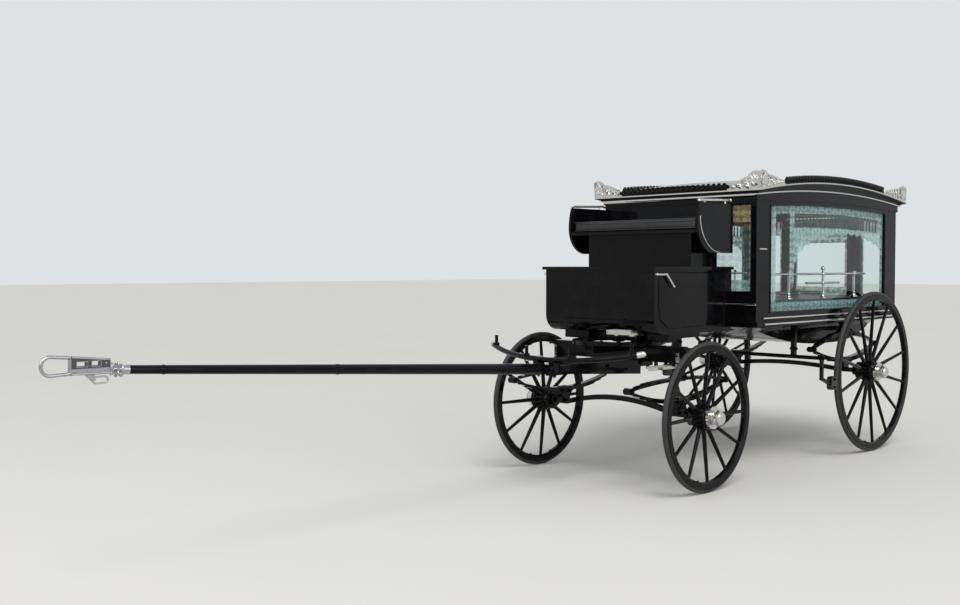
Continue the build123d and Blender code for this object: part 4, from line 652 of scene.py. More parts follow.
def etched_plate_glass():
    """Plate glass, etched with acid: a faint green body, clear fields and frosted floral borders."""
    material, tree, place = new_material("Acid etched plate glass")
    x, y, z = split(tree, place)
    along = math(tree, "SUBTRACT", x, REAR_X)
    pattern = flowers_and_vines(tree, place)
    front_end = remap(tree, along, FRONT_END, FRONT_END + 0.001)
    rear_end = remap(tree, along, REAR_END, REAR_END - 0.001)
    sides = math(tree, "SUBTRACT", 1.0, largest(tree, front_end, rear_end))
    side = times(tree, side_pane_etching(tree, along, z), sides)
    front = times(tree, largest(tree, end_pane_etching(tree, y, z, FRONT_PANE), 0.25), front_end)
    far_out = math(tree, "ABSOLUTE", y)
    light = end_pane_etching(tree, far_out, z, REAR_LIGHT)
    door = end_pane_etching(tree, y, z, DOOR_PANE)
    is_door = remap(tree, far_out, 0.30, 0.301, 1.0, 0.0)
    rear = add_node(tree, "ShaderNodeMix", None, {"Factor": is_door, 2: light, 3: door}).outputs[0]
    field = largest(tree, side, front, times(tree, rear, rear_end))
    etch = times(tree, field, math(tree, "MULTIPLY_ADD", pattern, 0.6, 0.36))
    gilt = times(tree, inside(tree, z, 1.665, 1.9), front_end)
    frost_colour = blend_colours(tree, gilt, colours().frost, colours().gilding)
    foot = times(tree, inside(tree, z, *FOOT_BAND), sides)
    frost_colour = blend_colours(tree, times(tree, foot, 0.6), frost_colour, "#5f9a95")
    # The IOR is below real glass, so that the pale studio doesn't wash out the inside, which is dark in the photo
    clear = add_node(
        tree, "ShaderNodeBsdfPrincipled",
        {"Base Color": (0.87, 0.94, 0.93, 1.0), "Roughness": 0.0, "IOR": 1.22, "Transmission Weight": 1.0},
    )
    frost = add_node(
        tree, "ShaderNodeBsdfPrincipled", {"Roughness": 0.6, "IOR": 1.45, "Transmission Weight": 0.25},
        {"Base Color": frost_colour, "Normal": bump(tree, pattern, 0.5, 0.5)},
    )
    mix = add_node(
        tree, "ShaderNodeMixShader", None,
        {0: math(tree, "MINIMUM", etch, 0.92), 1: clear.outputs[0], 2: frost.outputs[0]},
    )
    return surfaced(material, mix)


def buttoned_leather():
    """Black hide, dyed and glazed: fine pebble grain, soft sheen on the crowns."""
    material, tree, place = new_material("Glazed black hide")
    pebbles = add_node(
        tree, "ShaderNodeTexVoronoi", {"feature": "DISTANCE_TO_EDGE", "Scale": 1000.0 / 3.0}, {"Vector": place},
    ).outputs["Distance"]
    wear = patches(tree, place, 60.0, 5.0, 0.5, 0.45, 0.7)
    return principled(
        material, {"IOR": 1.48, "Coat Weight": 0.25, "Coat Roughness": 0.3},
        {
            "Base Color": blend_colours(tree, times(tree, wear, 0.5), colours().leather, "#2b2a2b"),
            "Roughness": remap(tree, wear, 0.0, 1.0, 0.42, 0.6), "Normal": bump(tree, pebbles, 0.5, 0.5),
        },
    )


def ebonised_wood():
    """Ebonised ash, stained and oiled: near black with open grain along the deck."""
    material, tree, place = new_material("Ebonised oiled ash")
    grain = noise(tree, stretched(tree, place, 0.04), 7.0, 6.0, 0.6)
    return principled(
        material, {"IOR": 1.5},
        {
            "Base Color": blend_colours(tree, remap(tree, grain, 0.35, 0.7), colours().ebony, "#241c17"),
            "Roughness": remap(tree, grain, 0.3, 0.7, 0.3, 0.5), "Normal": bump(tree, grain, 0.4, 0.4),
        },
    )


def mohair_velvet():
    """Black mohair velvet, woven and cut: dark, with a soft sheen where it turns away."""
    material, tree, place = new_material("Cut mohair velvet")
    pile = noise(tree, place, 1.5, 3.0)
    folds = noise(tree, place, 30.0, 2.0)
    return principled(
        material, {"Roughness": 0.9, "Sheen Weight": 0.8, "Sheen Roughness": 0.4, "Sheen Tint": linear("#8c8c96")},
        {
            "Base Color": blend_colours(tree, folds, colours().cloth, "#25252b"),
            "Normal": bump(tree, pile, 0.5, 0.5),
        },
    )


FINISHES = {
    "black_paint": coach_enamel,
    "silver_plate": nickel_silver_plate,
    "steel": polished_steel,
    "rubber": carriage_rubber,
    "glass": etched_plate_glass,
    "leather": buttoned_leather,
    "cloth": mohair_velvet,
}
made = {}


def finish_for(slot):
    """Material of a slot, made once."""
    if slot not in made:
        made[slot] = FINISHES[slot]()
    return made[slot]


class HEARSE_OT_finishes(bpy.types.Operator):
    """Give every piece of the frame its finish"""

    bl_idname = "hearse.finishes"
    bl_label = "Finishes"

    def execute(self, context):
        slots = {row["node"]: row["material_slot"] for row in frame["record"]["subparts"]}
        wood = ebonised_wood()
        for name, piece in frame["nodes"].items():
            material = wood if name in ("coffin_deck", "brake_shoes") else finish_for(slots[name])
            if not piece.material_slots:
                piece.data.materials.append(material)
            for holder in piece.material_slots:
                holder.material = material
        return {"FINISHED"}


WHEELS = [
    # body, axle x, radius, half track, spokes, side
    ("rear_left_wheel_set", 0.0, 0.610, 0.720, 14, 1),
    ("rear_right_wheel_set", 0.0, 0.610, 0.720, 14, -1),
    ("front_left_wheel_set", FRONT_AXLE, 0.4725, 0.700, 12, 1),
    ("front_right_wheel_set", FRONT_AXLE, 0.4725, 0.700, 12, -1),
]
TYRE_DEPTH = 0.022
FELLOE_DEPTH = 0.046
DISH = 0.032
NAVE_RADIUS = 0.076
NAVE_FACE = 0.0645
NAVE_BANDS = [(0.030, 0.0755), (-0.034, 0.0750), (-0.084, 0.0620)]  # place along the nave, radius there
RIVET_CIRCLE = 0.050
CAP_RADIUS = 0.0395
CAP_FACE = 0.078
CAP_RIMS = [(0.002, 0.005, 0.012, 0.003), (0.046, 0.003, 0.008, 0.002)]  # place, proud of the cap, depth, chamfer


def hoop(inner, outer, low, high, chamfer):
    """Profile of a ring with chamfered edges, between two heights."""
    return [(inner, low), (outer, low + chamfer), (outer, high - chamfer), (inner, high)]


def wheel_ring(x, radius, y, reach, count, half_step):
    """Places on a circle about a wheel's axis, with the directions that point out from it."""
    rows = []
    for index in range(count):
        angle = 2 * pi * (index + (0.5 if half_step else 0.0)) / count
        out = Vector((sin(angle), 0.0, cos(angle)))
        rows.append((at(x, y, radius) + out * reach, out))
    return rows


class HEARSE_OT_wheels(bpy.types.Operator):
    """Nuts in the felloes, rivets and bands on the naves, collars on the spokes and the faces of the hub caps"""

    bl_idname = "hearse.wheels"
    bl_label = "Wheel fittings"

    def execute(self, context):
        sizes = fasteners()
        for body, x, radius, track, spokes, side in WHEELS:
            stem = body.replace("_wheel_set", "")
            y = side * track
            felloe_in = radius - TYRE_DEPTH - FELLOE_DEPTH
            nave_y = y - side * DISH
            outward = side * LEFT

            places = [pointing(p, -out) for p, out in wheel_ring(x, radius, y, felloe_in + 0.0005, spokes, True)]
            nuts = repeated(nut(sizes.felloe_nut, 0.005, 0.003), places)
            finished(nuts, f"{stem}_felloe_nuts", "black_paint", body)

            studs = wheel_ring(x, radius, nave_y + side * NAVE_FACE, RIVET_CIRCLE, 8, True)
            rivets = repeated(round_head(sizes.rivet, 0.005), [pointing(p, outward) for p, _ in studs])
            finished(rivets, f"{stem}_nave_rivets", "silver_plate", body)

            collar = turned(hoop(0.0125, 0.0165, -0.006, 0.006, 0.003), segments=12)
            lean = outward * DISH / (felloe_in - NAVE_RADIUS)
            places = [
                pointing(p + outward * DISH * 0.05, out + lean)
                for p, out in wheel_ring(x, radius, nave_y, NAVE_RADIUS + 0.016, spokes, False)
            ]
            finished(repeated(collar, places), f"{stem}_spoke_collars", "black_paint", body)

            bands = []
            for offset, ring in NAVE_BANDS:
                profile = hoop(ring - 0.004, ring + 0.003, -0.005, 0.005, 0.001)
                bands.append(turned(profile, at(x, nave_y + side * offset, radius), outward, 40))
            finished(joined(bands), f"{stem}_nave_bands", "black_paint", body)

            face_y = nave_y + side * CAP_FACE
            sleeve = hexagon_sleeve(0.086, 0.022)
            sleeve.matrix_world = pointing(at(x, face_y + side * 0.020, radius), outward)
            rims = [
                turned(
                    hoop(CAP_RADIUS, CAP_RADIUS + proud, 0.0, depth, chamfer),
                    at(x, face_y + side * offset, radius), outward, 40,
                )
                for offset, proud, depth, chamfer in CAP_RIMS
            ]
            finished(joined([settle(sleeve)] + rims), f"{stem}_cap_rings", "silver_plate", body)
        return {"FINISHED"}


def hexagon_sleeve(across, depth):
    """Hexagon sleeve with chamfered ends round a cap, base at z = 0."""
    deselect()
    bpy.ops.mesh.primitive_cylinder_add(
        vertices=6, radius=across / 2 / cos(pi / 6), depth=depth, location=(0.0, 0.0, depth / 2),
    )
    sleeve = bpy.context.object
    settle(sleeve)
    work(sleeve, "BEVEL", width=0.0025, segments=2, limit_method="ANGLE")
    return sleeve


SPRINGS = [
    # name, body, axle x, eye height, half span, seat of the top, seat of the foot
    ("rear", "carriage_body", 0.0, 0.790, 0.510, 0.905, 0.669),
    ("front", "forecarriage", FRONT_AXLE, 0.655, 0.518, 0.708, 0.545),
]
EAR_THICKNESS = 0.012
EAR_SPACING = 0.027
EAR_OVERHANG = 0.013
SPRING_Y = 0.480
SPRING_HALF_WIDTH = 0.023


class HEARSE_OT_springs(bpy.types.Operator):
    """Clip plates with their nuts on the springs, and the nuts of the bolts through their eyes"""

    bl_idname = "hearse.springs"
    bl_label = "Spring fittings"

    def execute(self, context):
        across = fasteners().iron_nut
        for name, body, x, eye, span, top, foot in SPRINGS:
            ears, nuts, bolts = [], [], []
            for side, end, face in product((-1, 1), repeat=3):
                y = side * SPRING_Y
                for seat, way in ((top, 1), (foot, -1)):
                    spot = at(x + end * EAR_SPACING, y + face * (SPRING_HALF_WIDTH + EAR_OVERHANG), seat)
                    nuts.append(pointing(spot, way * UP))
                    ears.append(Matrix.Translation(spot - way * EAR_THICKNESS / 2 * UP))
                bolt = at(x + end * span, y + face * (SPRING_HALF_WIDTH + 0.004), eye)
                bolts.append(pointing(bolt, face * LEFT))
            for fitting, source, places in (
                ("clip_ears", stud_ear(), ears),
                ("clip_nuts", nut(across, 0.009, 0.006), nuts),
                ("eye_nuts", nut(across * 1.15, 0.008, 0.003), bolts),
            ):
                finished(repeated(source, places), f"{name}_spring_{fitting}", "black_paint", body)
        return {"FINISHED"}


def stud_ear():
    """Small rounded plate that carries one nut beside a spring."""
    deselect()
    bpy.ops.mesh.primitive_cube_add(size=1.0, location=(0.0, 0.0, 0.0), scale=(0.026, 0.034, EAR_THICKNESS))
    ear = bpy.context.object
    settle(ear)
    work(ear, "BEVEL", width=0.003, segments=2, limit_method="ANGLE")
    return ear


class HEARSE_OT_turntable(bpy.types.Operator):
    """Bolts of the turntable rings, the kingpin nut and the bolts of the futchells and the splinter bar"""

    bl_idname = "hearse.turntable"
    bl_label = "Turntable and draught bolts"

    def execute(self, context):
        across = fasteners().iron_nut
        count, ring_radius, ring_top = 12, 0.285, 0.9243
        beam_y, beam_half_width, clear_of_middle = 0.2, 0.04, 0.06
        places = []
        for index in range(count):
            angle = 2 * pi * (index + 0.5) / count
            x, y = ring_radius * sin(angle), ring_radius * cos(angle)
            if abs(x) > clear_of_middle and abs(abs(y) - beam_y) > beam_half_width:
                places.append(pointing(at(FRONT_AXLE + x, y, ring_top), UP))
        finished(repeated(nut(across * 0.8, 0.007, 0.003), places), "upper_ring_bolts", "black_paint", "carriage_body")

        kingpin = nut(0.046, 0.016, 0.0)
        kingpin.matrix_world = pointing(at(FRONT_AXLE, 0.0, 0.8066), -UP)
        finished(settle(kingpin), "kingpin_nut", "black_paint", "carriage_body")

        futchell_y, futchell_half_width, futchell_foot, futchell_middle = 0.0655, 0.020, 0.7405, 0.768
        bed_foot, bed_front = 0.797, FRONT_AXLE + 0.0455
        places = []
        for side in (-1, 1):
            y, face_y = side * futchell_y, side * (futchell_y + futchell_half_width)
            places += [pointing(at(x, y, futchell_foot), -UP) for x in (1.99, FRONT_AXLE, 2.60, 2.95)]
            places += [pointing(at(x, face_y, futchell_middle), side * LEFT) for x in (2.10, 2.45, 2.72, 2.98)]
            places += [pointing(at(FRONT_AXLE + x, side * 0.40, bed_foot), -UP) for x in (-0.025, 0.025)]
            places += [pointing(at(bed_front, side * 0.505, z), FORWARD) for z in (0.80, 0.845)]
        finished(repeated(nut(across, 0.009, 0.005), places), "forecarriage_bolts", "black_paint", "forecarriage")
        return {"FINISHED"}


POLE_SLOPE = radians(3.77)
POLE_START, POLE_END = 0.06, 2.77
POLE_THICK, POLE_THIN = 0.034, 0.020


def pole_radius(distance):
    """Radius of the tapered pole at a distance along it."""
    return POLE_THICK + (distance - POLE_START) / (POLE_END - POLE_START) * (POLE_THIN - POLE_THICK)


class HEARSE_OT_pole(bpy.types.Operator):
    """Bands round the pole, its ferrule screws and the polished bars of its head"""

    bl_idname = "hearse.pole"
    bl_label = "Pole fittings"

    def execute(self, context):
        along = Vector((cos(POLE_SLOPE), 0.0, sin(POLE_SLOPE)))
        up = Vector((-sin(POLE_SLOPE), 0.0, cos(POLE_SLOPE)))
        root = at(2.950, 0.0, 0.775)
        ferrule, ferrule_radius = root + along * 2.782, 0.0195

        bands = []
        for distance, width in ((0.085, 0.030), (0.36, 0.018), (1.62, 0.018), (2.60, 0.016)):
            ring = pole_radius(distance)
            profile = [
                (ring - 0.004, -width / 2), (ring + 0.0015, -width / 2 + 0.002), (ring + 0.0025, 0.0),
                (ring + 0.0015, width / 2 - 0.002), (ring - 0.004, width / 2),
            ]
            bands.append(turned(profile, root + along * distance, along, 36))
        finished(joined(bands), "pole_bands", "black_paint", "forecarriage")

        screws = [pointing(ferrule + way * ferrule_radius, way) for way in (-up, -LEFT, up, LEFT)]
        finished(repeated(round_head(fasteners().screw, 0.0025), screws), "ferrule_screws", "steel", "forecarriage")

        head_rear, head_front, head_face = 5.806, 5.974, 0.013
        hole_low, hole_high = 0.983, 1.006
        bars, pins = [], []
        for side in (-1, 1):
            y = side * (head_face - 0.0005)
            for rear_z, front_z in ((1.0085, 1.0262), (0.9505, 0.9535)):
                bars.append(bar([at(head_rear, y, rear_z), at(head_front, y, front_z)], 0.0046))
            for x0, x1 in ((5.844, 5.887), (5.904, 5.954)):
                rim = [(x0, hole_low), (x1, hole_low), (x1, hole_high), (x0, hole_high)]
                bars.append(bar([at(x, y, z) for x, z in rim], 0.0032, closed=True))
            for x, z in ((5.822, 0.995), (5.8955, 0.966), (5.822, 0.966), (5.962, 0.966)):
                pins.append(pointing(at(x, side * head_face, z), side * LEFT))
        finished(joined(bars), "pole_head_bars", "steel", "forecarriage")
        finished(repeated(round_head(0.012, 0.005), pins), "pole_head_rivets", "steel", "forecarriage")
        return {"FINISHED"}


class HEARSE_OT_brake(bpy.types.Operator):
    """Boss nuts, hanger bolts and shoe bolts of the brake"""

    bl_idname = "hearse.brake"
    bl_label = "Brake fittings"

    def execute(self, context):
        across = fasteners().iron_nut
        shaft_x, shaft_end, shaft_z = 0.812, 0.730, 0.757
        hanger_y, hanger_half_width, hanger_bolt_z = 0.500, 0.015, 0.815
        shoe_x, shoe_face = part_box("brake_shoes")[1][0] - 0.040, 0.7398
        gear, shoes = [], []
        for side in (-1, 1):
            gear.append(pointing(at(shaft_x, side * shaft_end, shaft_z), side * LEFT))
            for edge in (-1, 1):
                hanger_face = side * (hanger_y + edge * hanger_half_width)
                gear.append(pointing(at(shaft_x, hanger_face, hanger_bolt_z), side * edge * LEFT))
            shoes += [pointing((shoe_x, side * shoe_face, z), side * LEFT) for z in (0.540, 0.596)]
        finished(repeated(nut(across, 0.009, 0.004), gear), "brake_gear_nuts", "black_paint", "carriage_body")
        finished(repeated(nut(across * 0.7, 0.006, 0.003), shoes), "brake_shoe_bolts", "black_paint", "carriage_body")
        return {"FINISHED"}


def arched(x, crown, rise):
    """Height of an arch that runs along the coach."""
    return crown - rise * ((x - COACH_MIDDLE) / COACH_HALF_LENGTH) ** 2


def roof_height(x):
    """Height of the cornice's top, which the crest and the ornaments stand against."""
    return arched(x, 2.012, 0.080)


def window_line(pane, y, steps=24):
    """Points round a side window whose head follows the coach's arch."""
    start, stop, low, high = pane
    points = [at(start, y, low), at(stop, y, low)]
    for index in range(steps + 1):
        x = stop + (start - stop) * index / steps
        points.append(at(x, y, arched(x, high, SIDE_RISE)))
    return points


def end_window_line(pane, x, side=1):
    """Corners of an upright window across the coach."""
    start, stop, low, high = pane
    return [at(x, side * y, z) for y, z in ((start, low), (stop, low), (stop, high), (start, high))]


class HEARSE_OT_beads(bpy.types.Operator):
    """Beads round the windows and the boot's panels, and the silver crescents on the seat ends"""

    bl_idname = "hearse.beads"
    bl_label = "Beads and edgings"

    def execute(self, context):
        windows = [bar(end_window_line(FRONT_PANE, FRONT_FACE), 0.006, closed=True)]
        door = bar(end_window_line(DOOR_PANE, REAR_FACE), 0.005, closed=True)
        panels, crescents = [], []
        boot_y, seat_end_y = 0.4505, 0.5415
        end_x, end_z, end_length, end_depth = 1.850, 1.735, 0.235, 0.232
        boot = [(1.66, 1.02), (2.30, 1.02), (2.385, 1.075), (2.40, 1.16), (2.40, 1.37), (1.66, 1.37)]
        for side in (-1, 1):
            windows.append(bar(window_line(SIDE_PANE, side * SIDE_FACE), 0.006, closed=True))
            windows.append(bar(end_window_line(REAR_LIGHT, REAR_FACE, side), 0.005, closed=True))
            panels.append(bar([at(x, side * boot_y, z) for x, z in boot], 0.004, closed=True))
            curve = [radians(-88 + index * 88 / 12) for index in range(13)]
            points = [
                at(end_x + end_length * cos(turn), side * seat_end_y, end_z + end_depth * sin(turn)) for turn in curve
            ]
            crescents.append(bar(points, 0.0035))
        finished(joined(windows), "window_beads", "black_paint", "carriage_body")
        finished(door, "door_window_bead", "black_paint", "rear_door")
        finished(joined(panels), "boot_panel_beads", "black_paint", "carriage_body")
        finished(joined(crescents), "seat_end_beads", "silver_plate", "carriage_body")
        return {"FINISHED"}


def scroll(centre, radius, way, turns=1.35, start=0.15 * pi, points=34):
    """Points of a spiral in the plane of an ornament: way is the direction along the wing."""
    rows = []
    for index in range(points):
        share = index / (points - 1)
        reach = radius * (1.0 - 0.82 * share)
        angle = start - turns * 2 * pi * share
        rows.append(centre + way * (reach * cos(angle)) + UP * (reach * sin(angle)))
    return rows


ORNAMENT_HEIGHT = 0.122
LEAF_LENGTH = 0.020
CREST_PITCH = 0.042
WING_RINGS = [
    # share of the wing's length, height and size as shares of the ornament's height
    (0.17, 0.50, 0.46), (0.45, 0.36, 0.30), (0.67, 0.27, 0.22), (0.85, 0.19, 0.15),
]


def leaned(turn, way):
    """Direction that leans from upright along a wing by a turn in degrees."""
    return UP * cos(radians(turn)) + way * sin(radians(turn))


class HEARSE_OT_ornaments(bpy.types.Operator):
    """Relief scrolls, leaves and bosses on the faces of the corner ornaments"""

    bl_idname = "hearse.ornaments"
    bl_label = "Ornament relief"

    def execute(self, context):
        scrolls, bosses, leaves = [], [], []

        def add_boss(place, face, size):
            bosses.append(pointing(place, face) @ Matrix.Scale(size * ORNAMENT_HEIGHT / 0.010, 4))

        def dress_wing(run, span, face, out):
            """Relief on one wing: a fan of leaves at the corner, then scrolls with leaves between them."""
            way = run.normalized()
            for index, (share, lift, size) in enumerate(WING_RINGS):
                centre = out + run * (share * span) + UP * (lift * ORNAMENT_HEIGHT) + face * 0.0015
                radius = size * ORNAMENT_HEIGHT * 0.83
                if index:
                    scrolls.append(bar(scroll(centre, radius, way), 0.0032, sides=1))
                    add_boss(centre, face, size * 0.30)
                else:
                    root = centre - UP * (radius * 0.62)
                    add_boss(root, face, size * 0.22)
                    for turn in (-72, -48, -24, 0, 24, 48, 72):
                        length = radius * (1.62 - abs(turn) * 0.0075)
                        leaves.append(leaf_place(root, face, leaned(turn, way), length))
                if index + 1 < len(WING_RINGS):
                    share_on, _, size_on = WING_RINGS[index + 1]
                    root = out + run * ((share + share_on) / 2 * span) + UP * 0.012
                    length = (size + size_on) * 0.52 * ORNAMENT_HEIGHT
                    leaves.extend(leaf_place(root, face, leaned(turn, way), length) for turn in (-20, 28, 62))

        for x, inward, length in ((ROOF_FRONT, -1, 0.335), (ROOF_REAR, 1, 0.395)):
            foot = roof_height(x)
            slope = (roof_height(x + inward * length) - foot) / length
            for side in (-1, 1):
                along, across = inward * FORWARD + slope * UP, -side * LEFT
                dress_wing(along, length, -across, at(x, side * (ROOF_HALF_WIDTH + 0.0005), foot))
                dress_wing(across, 0.25, -inward * FORWARD, at(x - inward * 0.0005, side * ROOF_HALF_WIDTH, foot))
        finished(joined(scrolls), "ornament_scrolls", "silver_plate", "carriage_body")
        finished(repeated(round_head(0.020, 0.007, 12), bosses), "ornament_bosses", "silver_plate", "carriage_body")
        finished(repeated(acanthus_leaf(), leaves), "ornament_leaves", "silver_plate", "carriage_body")
        return {"FINISHED"}


def leaf_place(root, face, lean, length):
    """Matrix that lays a leaf on a face, from its root along a direction."""
    lean = lean.normalized()
    turn = Matrix((lean.cross(face).normalized(), lean, face)).transposed().to_4x4()
    size = length / LEAF_LENGTH
    return Matrix.Translation(root + face * 0.001) @ turn @ Matrix.Diagonal((size, size, min(size, 1.8), 1.0))


def acanthus_leaf():
    """Small three-lobed leaf with a raised rib, 20 mm long, pointing along +Y, its back at z = 0."""
    deselect()
    bpy.ops.mesh.primitive_grid_add(x_subdivisions=4, y_subdivisions=7, size=1.0, location=(0.0, 0.0, 0.0))
    leaf = bpy.context.object
    for vertex in leaf.data.vertices:
        u, v = vertex.co.x * 2, vertex.co.y + 0.5
        width = 0.0065 * sin(pi * min(max(v, 0.02), 0.98)) ** 0.7 * (1 + 0.28 * cos(v * 6 * pi))
        vertex.co.x = u * width
        vertex.co.y = v * LEAF_LENGTH - abs(u) * 0.003
        vertex.co.z = 0.0035 * (1 - abs(u)) * (1 - 0.5 * v) + 0.002 * v * v
    work(leaf, "SOLIDIFY", thickness=0.0015, offset=-1.0)
    face_outwards(leaf)
    return leaf


class HEARSE_OT_crest(bpy.types.Operator):
    """Leaf on each tooth of the roof crest and a pearl between them"""

    bl_idname = "hearse.crest"
    bl_label = "Crest relief"

    def execute(self, context):
        leaves, pearls = [], []

        def dress_run(start, stop, clear, place, face):
            """Leaves and pearls along one run of the crest, clear of the corner ornaments at its ends."""
            count = round((stop - start) / CREST_PITCH)
            step = (stop - start) / count
            for index in range(count):
                tooth = start + (index + 0.5) * step
                if start + clear[0] < tooth < stop - clear[1]:
                    leaves.append(leaf_place(place(tooth, 0.008), face, UP, 0.036))
                    pearls.append(pointing(place(tooth + step / 2, 0.016), face))

        for side in (-1, 1):
            def beside(x, lift):
                return at(x, side * ROOF_HALF_WIDTH, roof_height(x) + lift)

            dress_run(ROOF_REAR, ROOF_FRONT, (0.41, 0.35), beside, side * LEFT)
        for end, way in ((ROOF_REAR, -1), (ROOF_FRONT, 1)):
            def across(y, lift):
                return at(end, y, roof_height(end) + lift)

            dress_run(-ROOF_HALF_WIDTH, ROOF_HALF_WIDTH, (0.265, 0.265), across, way * FORWARD)
        finished(repeated(acanthus_leaf(), leaves), "crest_leaves", "black_paint", "carriage_body")
        finished(repeated(round_head(0.011, 0.005, 8), pearls), "crest_pearls", "black_paint", "carriage_body")
        return {"FINISHED"}


def rib(width):
    """Rib across a tread, its middle at the origin."""
    return bar([-width / 2 * LEFT, width / 2 * LEFT], 0.0017)


class HEARSE_OT_treads(bpy.types.Operator):
    """Ribs across the treads of the steps"""

    bl_idname = "hearse.treads"
    bl_label = "Step treads"

    def execute(self, context):
        inner, outer, tread = 0.492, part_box("driver_steps")[1][1] - 0.006, 0.797
        places = [
            Matrix.Translation((FRONT_X + 0.212 + index * 0.023, side * (inner + outer) / 2, tread))
            for side in (-1, 1) for index in range(7)
        ]
        finished(repeated(rib(outer - inner), places), "driver_step_ribs", "silver_plate", "forecarriage")

        low, high = (Vector(corner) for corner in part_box("front_step"))
        margin = 0.022
        places = [
            Matrix.Translation((high.x - 0.016 - index * 0.018, (low.y + high.y) / 2, high.z)) for index in range(4)
        ]
        ribs = repeated(rib(high.y - low.y - 2 * margin), places)
        finished(ribs, "front_step_ribs", "silver_plate", "carriage_body")
        return {"FINISHED"}


class HEARSE_OT_fittings(bpy.types.Operator):
    """Screws of the hinges, handle plate and lock, finials and feet of the rails"""

    bl_idname = "hearse.fittings"
    bl_label = "Coach fittings"

    def execute(self, context):
        hinge_y, leaf_x, hinge_heights = -0.330, -0.5440, (1.180, 1.445, 1.710)
        for name, body, way, columns in (
            ("hinge_post_screws", "carriage_body", -1, (0.016, 0.036)),
            ("door_hinge_screws", "rear_door", 1, (0.018, 0.038)),
        ):
            places = [
                pointing(at(leaf_x, hinge_y + way * y, z + way * dz), -FORWARD)
                for z, y, dz in product(hinge_heights, columns, (0.008, 0.026))
            ]
            finished(repeated(round_head(fasteners().screw, 0.0022), places), name, "silver_plate", body)

        lock_y, lock_z, handle_z = 0.2815, 1.360, 1.445
        lock = turned(
            [(0.0, 0.0), (0.018, 0.0), (0.018, 0.003), (0.015, 0.0045), (0.006, 0.0045), (0.005, 0.002), (0.0, 0.002)],
            at(REAR_FACE, lock_y, lock_z), -FORWARD, 28,
        )
        rose = turned(
            [(0.0215, 0.0), (0.0215, 0.0035), (0.0180, 0.0055), (0.0120, 0.0055), (0.0082, 0.0125)],
            at(REAR_FACE, lock_y, handle_z), -FORWARD, 28,
        )
        finished(joined([lock, rose]), "door_lock_and_rose", "silver_plate", "rear_door")

        foot = turned(
            [(0.0265, 0.0), (0.0295, 0.003), (0.0275, 0.008), (0.020, 0.012), (0.0125, 0.020), (0.0110, 0.032),
             (0.0125, 0.038), (0.0100, 0.044)],
            segments=24,
        )
        finial = turned(
            [(0.0095, 0.0), (0.0150, 0.004), (0.0170, 0.011), (0.0120, 0.019), (0.0050, 0.024), (0.0, 0.0255)],
        )
        rail_y, deck_top = 0.530, 1.1755
        feet, tops = [], []
        for side in (-1, 1):
            for x, top in ((-0.045, 1.360), (0.448, 1.386), (0.951, 1.360)):
                feet.append(Matrix.Translation(at(x, side * rail_y, deck_top)))
                tops.append(Matrix.Translation(at(x, side * rail_y, top)))
        rails = joined([repeated(foot, feet), repeated(finial, tops)])
        finished(rails, "bier_rail_feet", "silver_plate", "carriage_body")
        return {"FINISHED"}


# Soft goods

def button_points(low, high):
    """Places of the cushion's buttons on its top, staggered row by row."""
    settings = soft_settings()
    rows, columns = settings.button_rows, settings.button_columns
    points = []
    for row in range(rows):
        x = low[0] + (high[0] - low[0]) * (row + 0.7) / (rows + 0.4)
        shift = 0.5 if row % 2 else 0.0
        for column in range(columns - (row % 2)):
            y = low[1] + (high[1] - low[1]) * (column + 0.5 + shift) / columns
            points.append(Vector((x, y, high[2])))
    return points


def swollen(pad, swell):
    """Swell a pad with cloth under pressure, its foot and buttons held, and cap how far each point moves."""
    rest = [vertex.co.copy() for vertex in pad.data.vertices]
    only(pad)
    bpy.ops.object.modifier_add(type="CLOTH")
    cloth = pad.modifiers[-1]
    cloth.settings.quality = 4
    cloth.settings.mass = 0.25
    cloth.settings.use_pressure = True
    cloth.settings.uniform_pressure_force = 4.0
    cloth.settings.effector_weights.gravity = 0.0
    cloth.settings.vertex_group_mass = "held"
    cloth.settings.pin_stiffness = 1.0
    cloth.collision_settings.use_self_collision = False
    cloth.point_cache.frame_start = 1
    cloth.point_cache.frame_end = 20
    for step in range(1, 21):
        bpy.context.scene.frame_set(step)
    bpy.ops.object.modifier_apply(modifier=cloth.name)
    bpy.context.scene.frame_set(1)
    for vertex, start in zip(pad.data.vertices, rest):
        move = vertex.co - start
        if move.length > swell:
            vertex.co = start + move.normalized() * swell


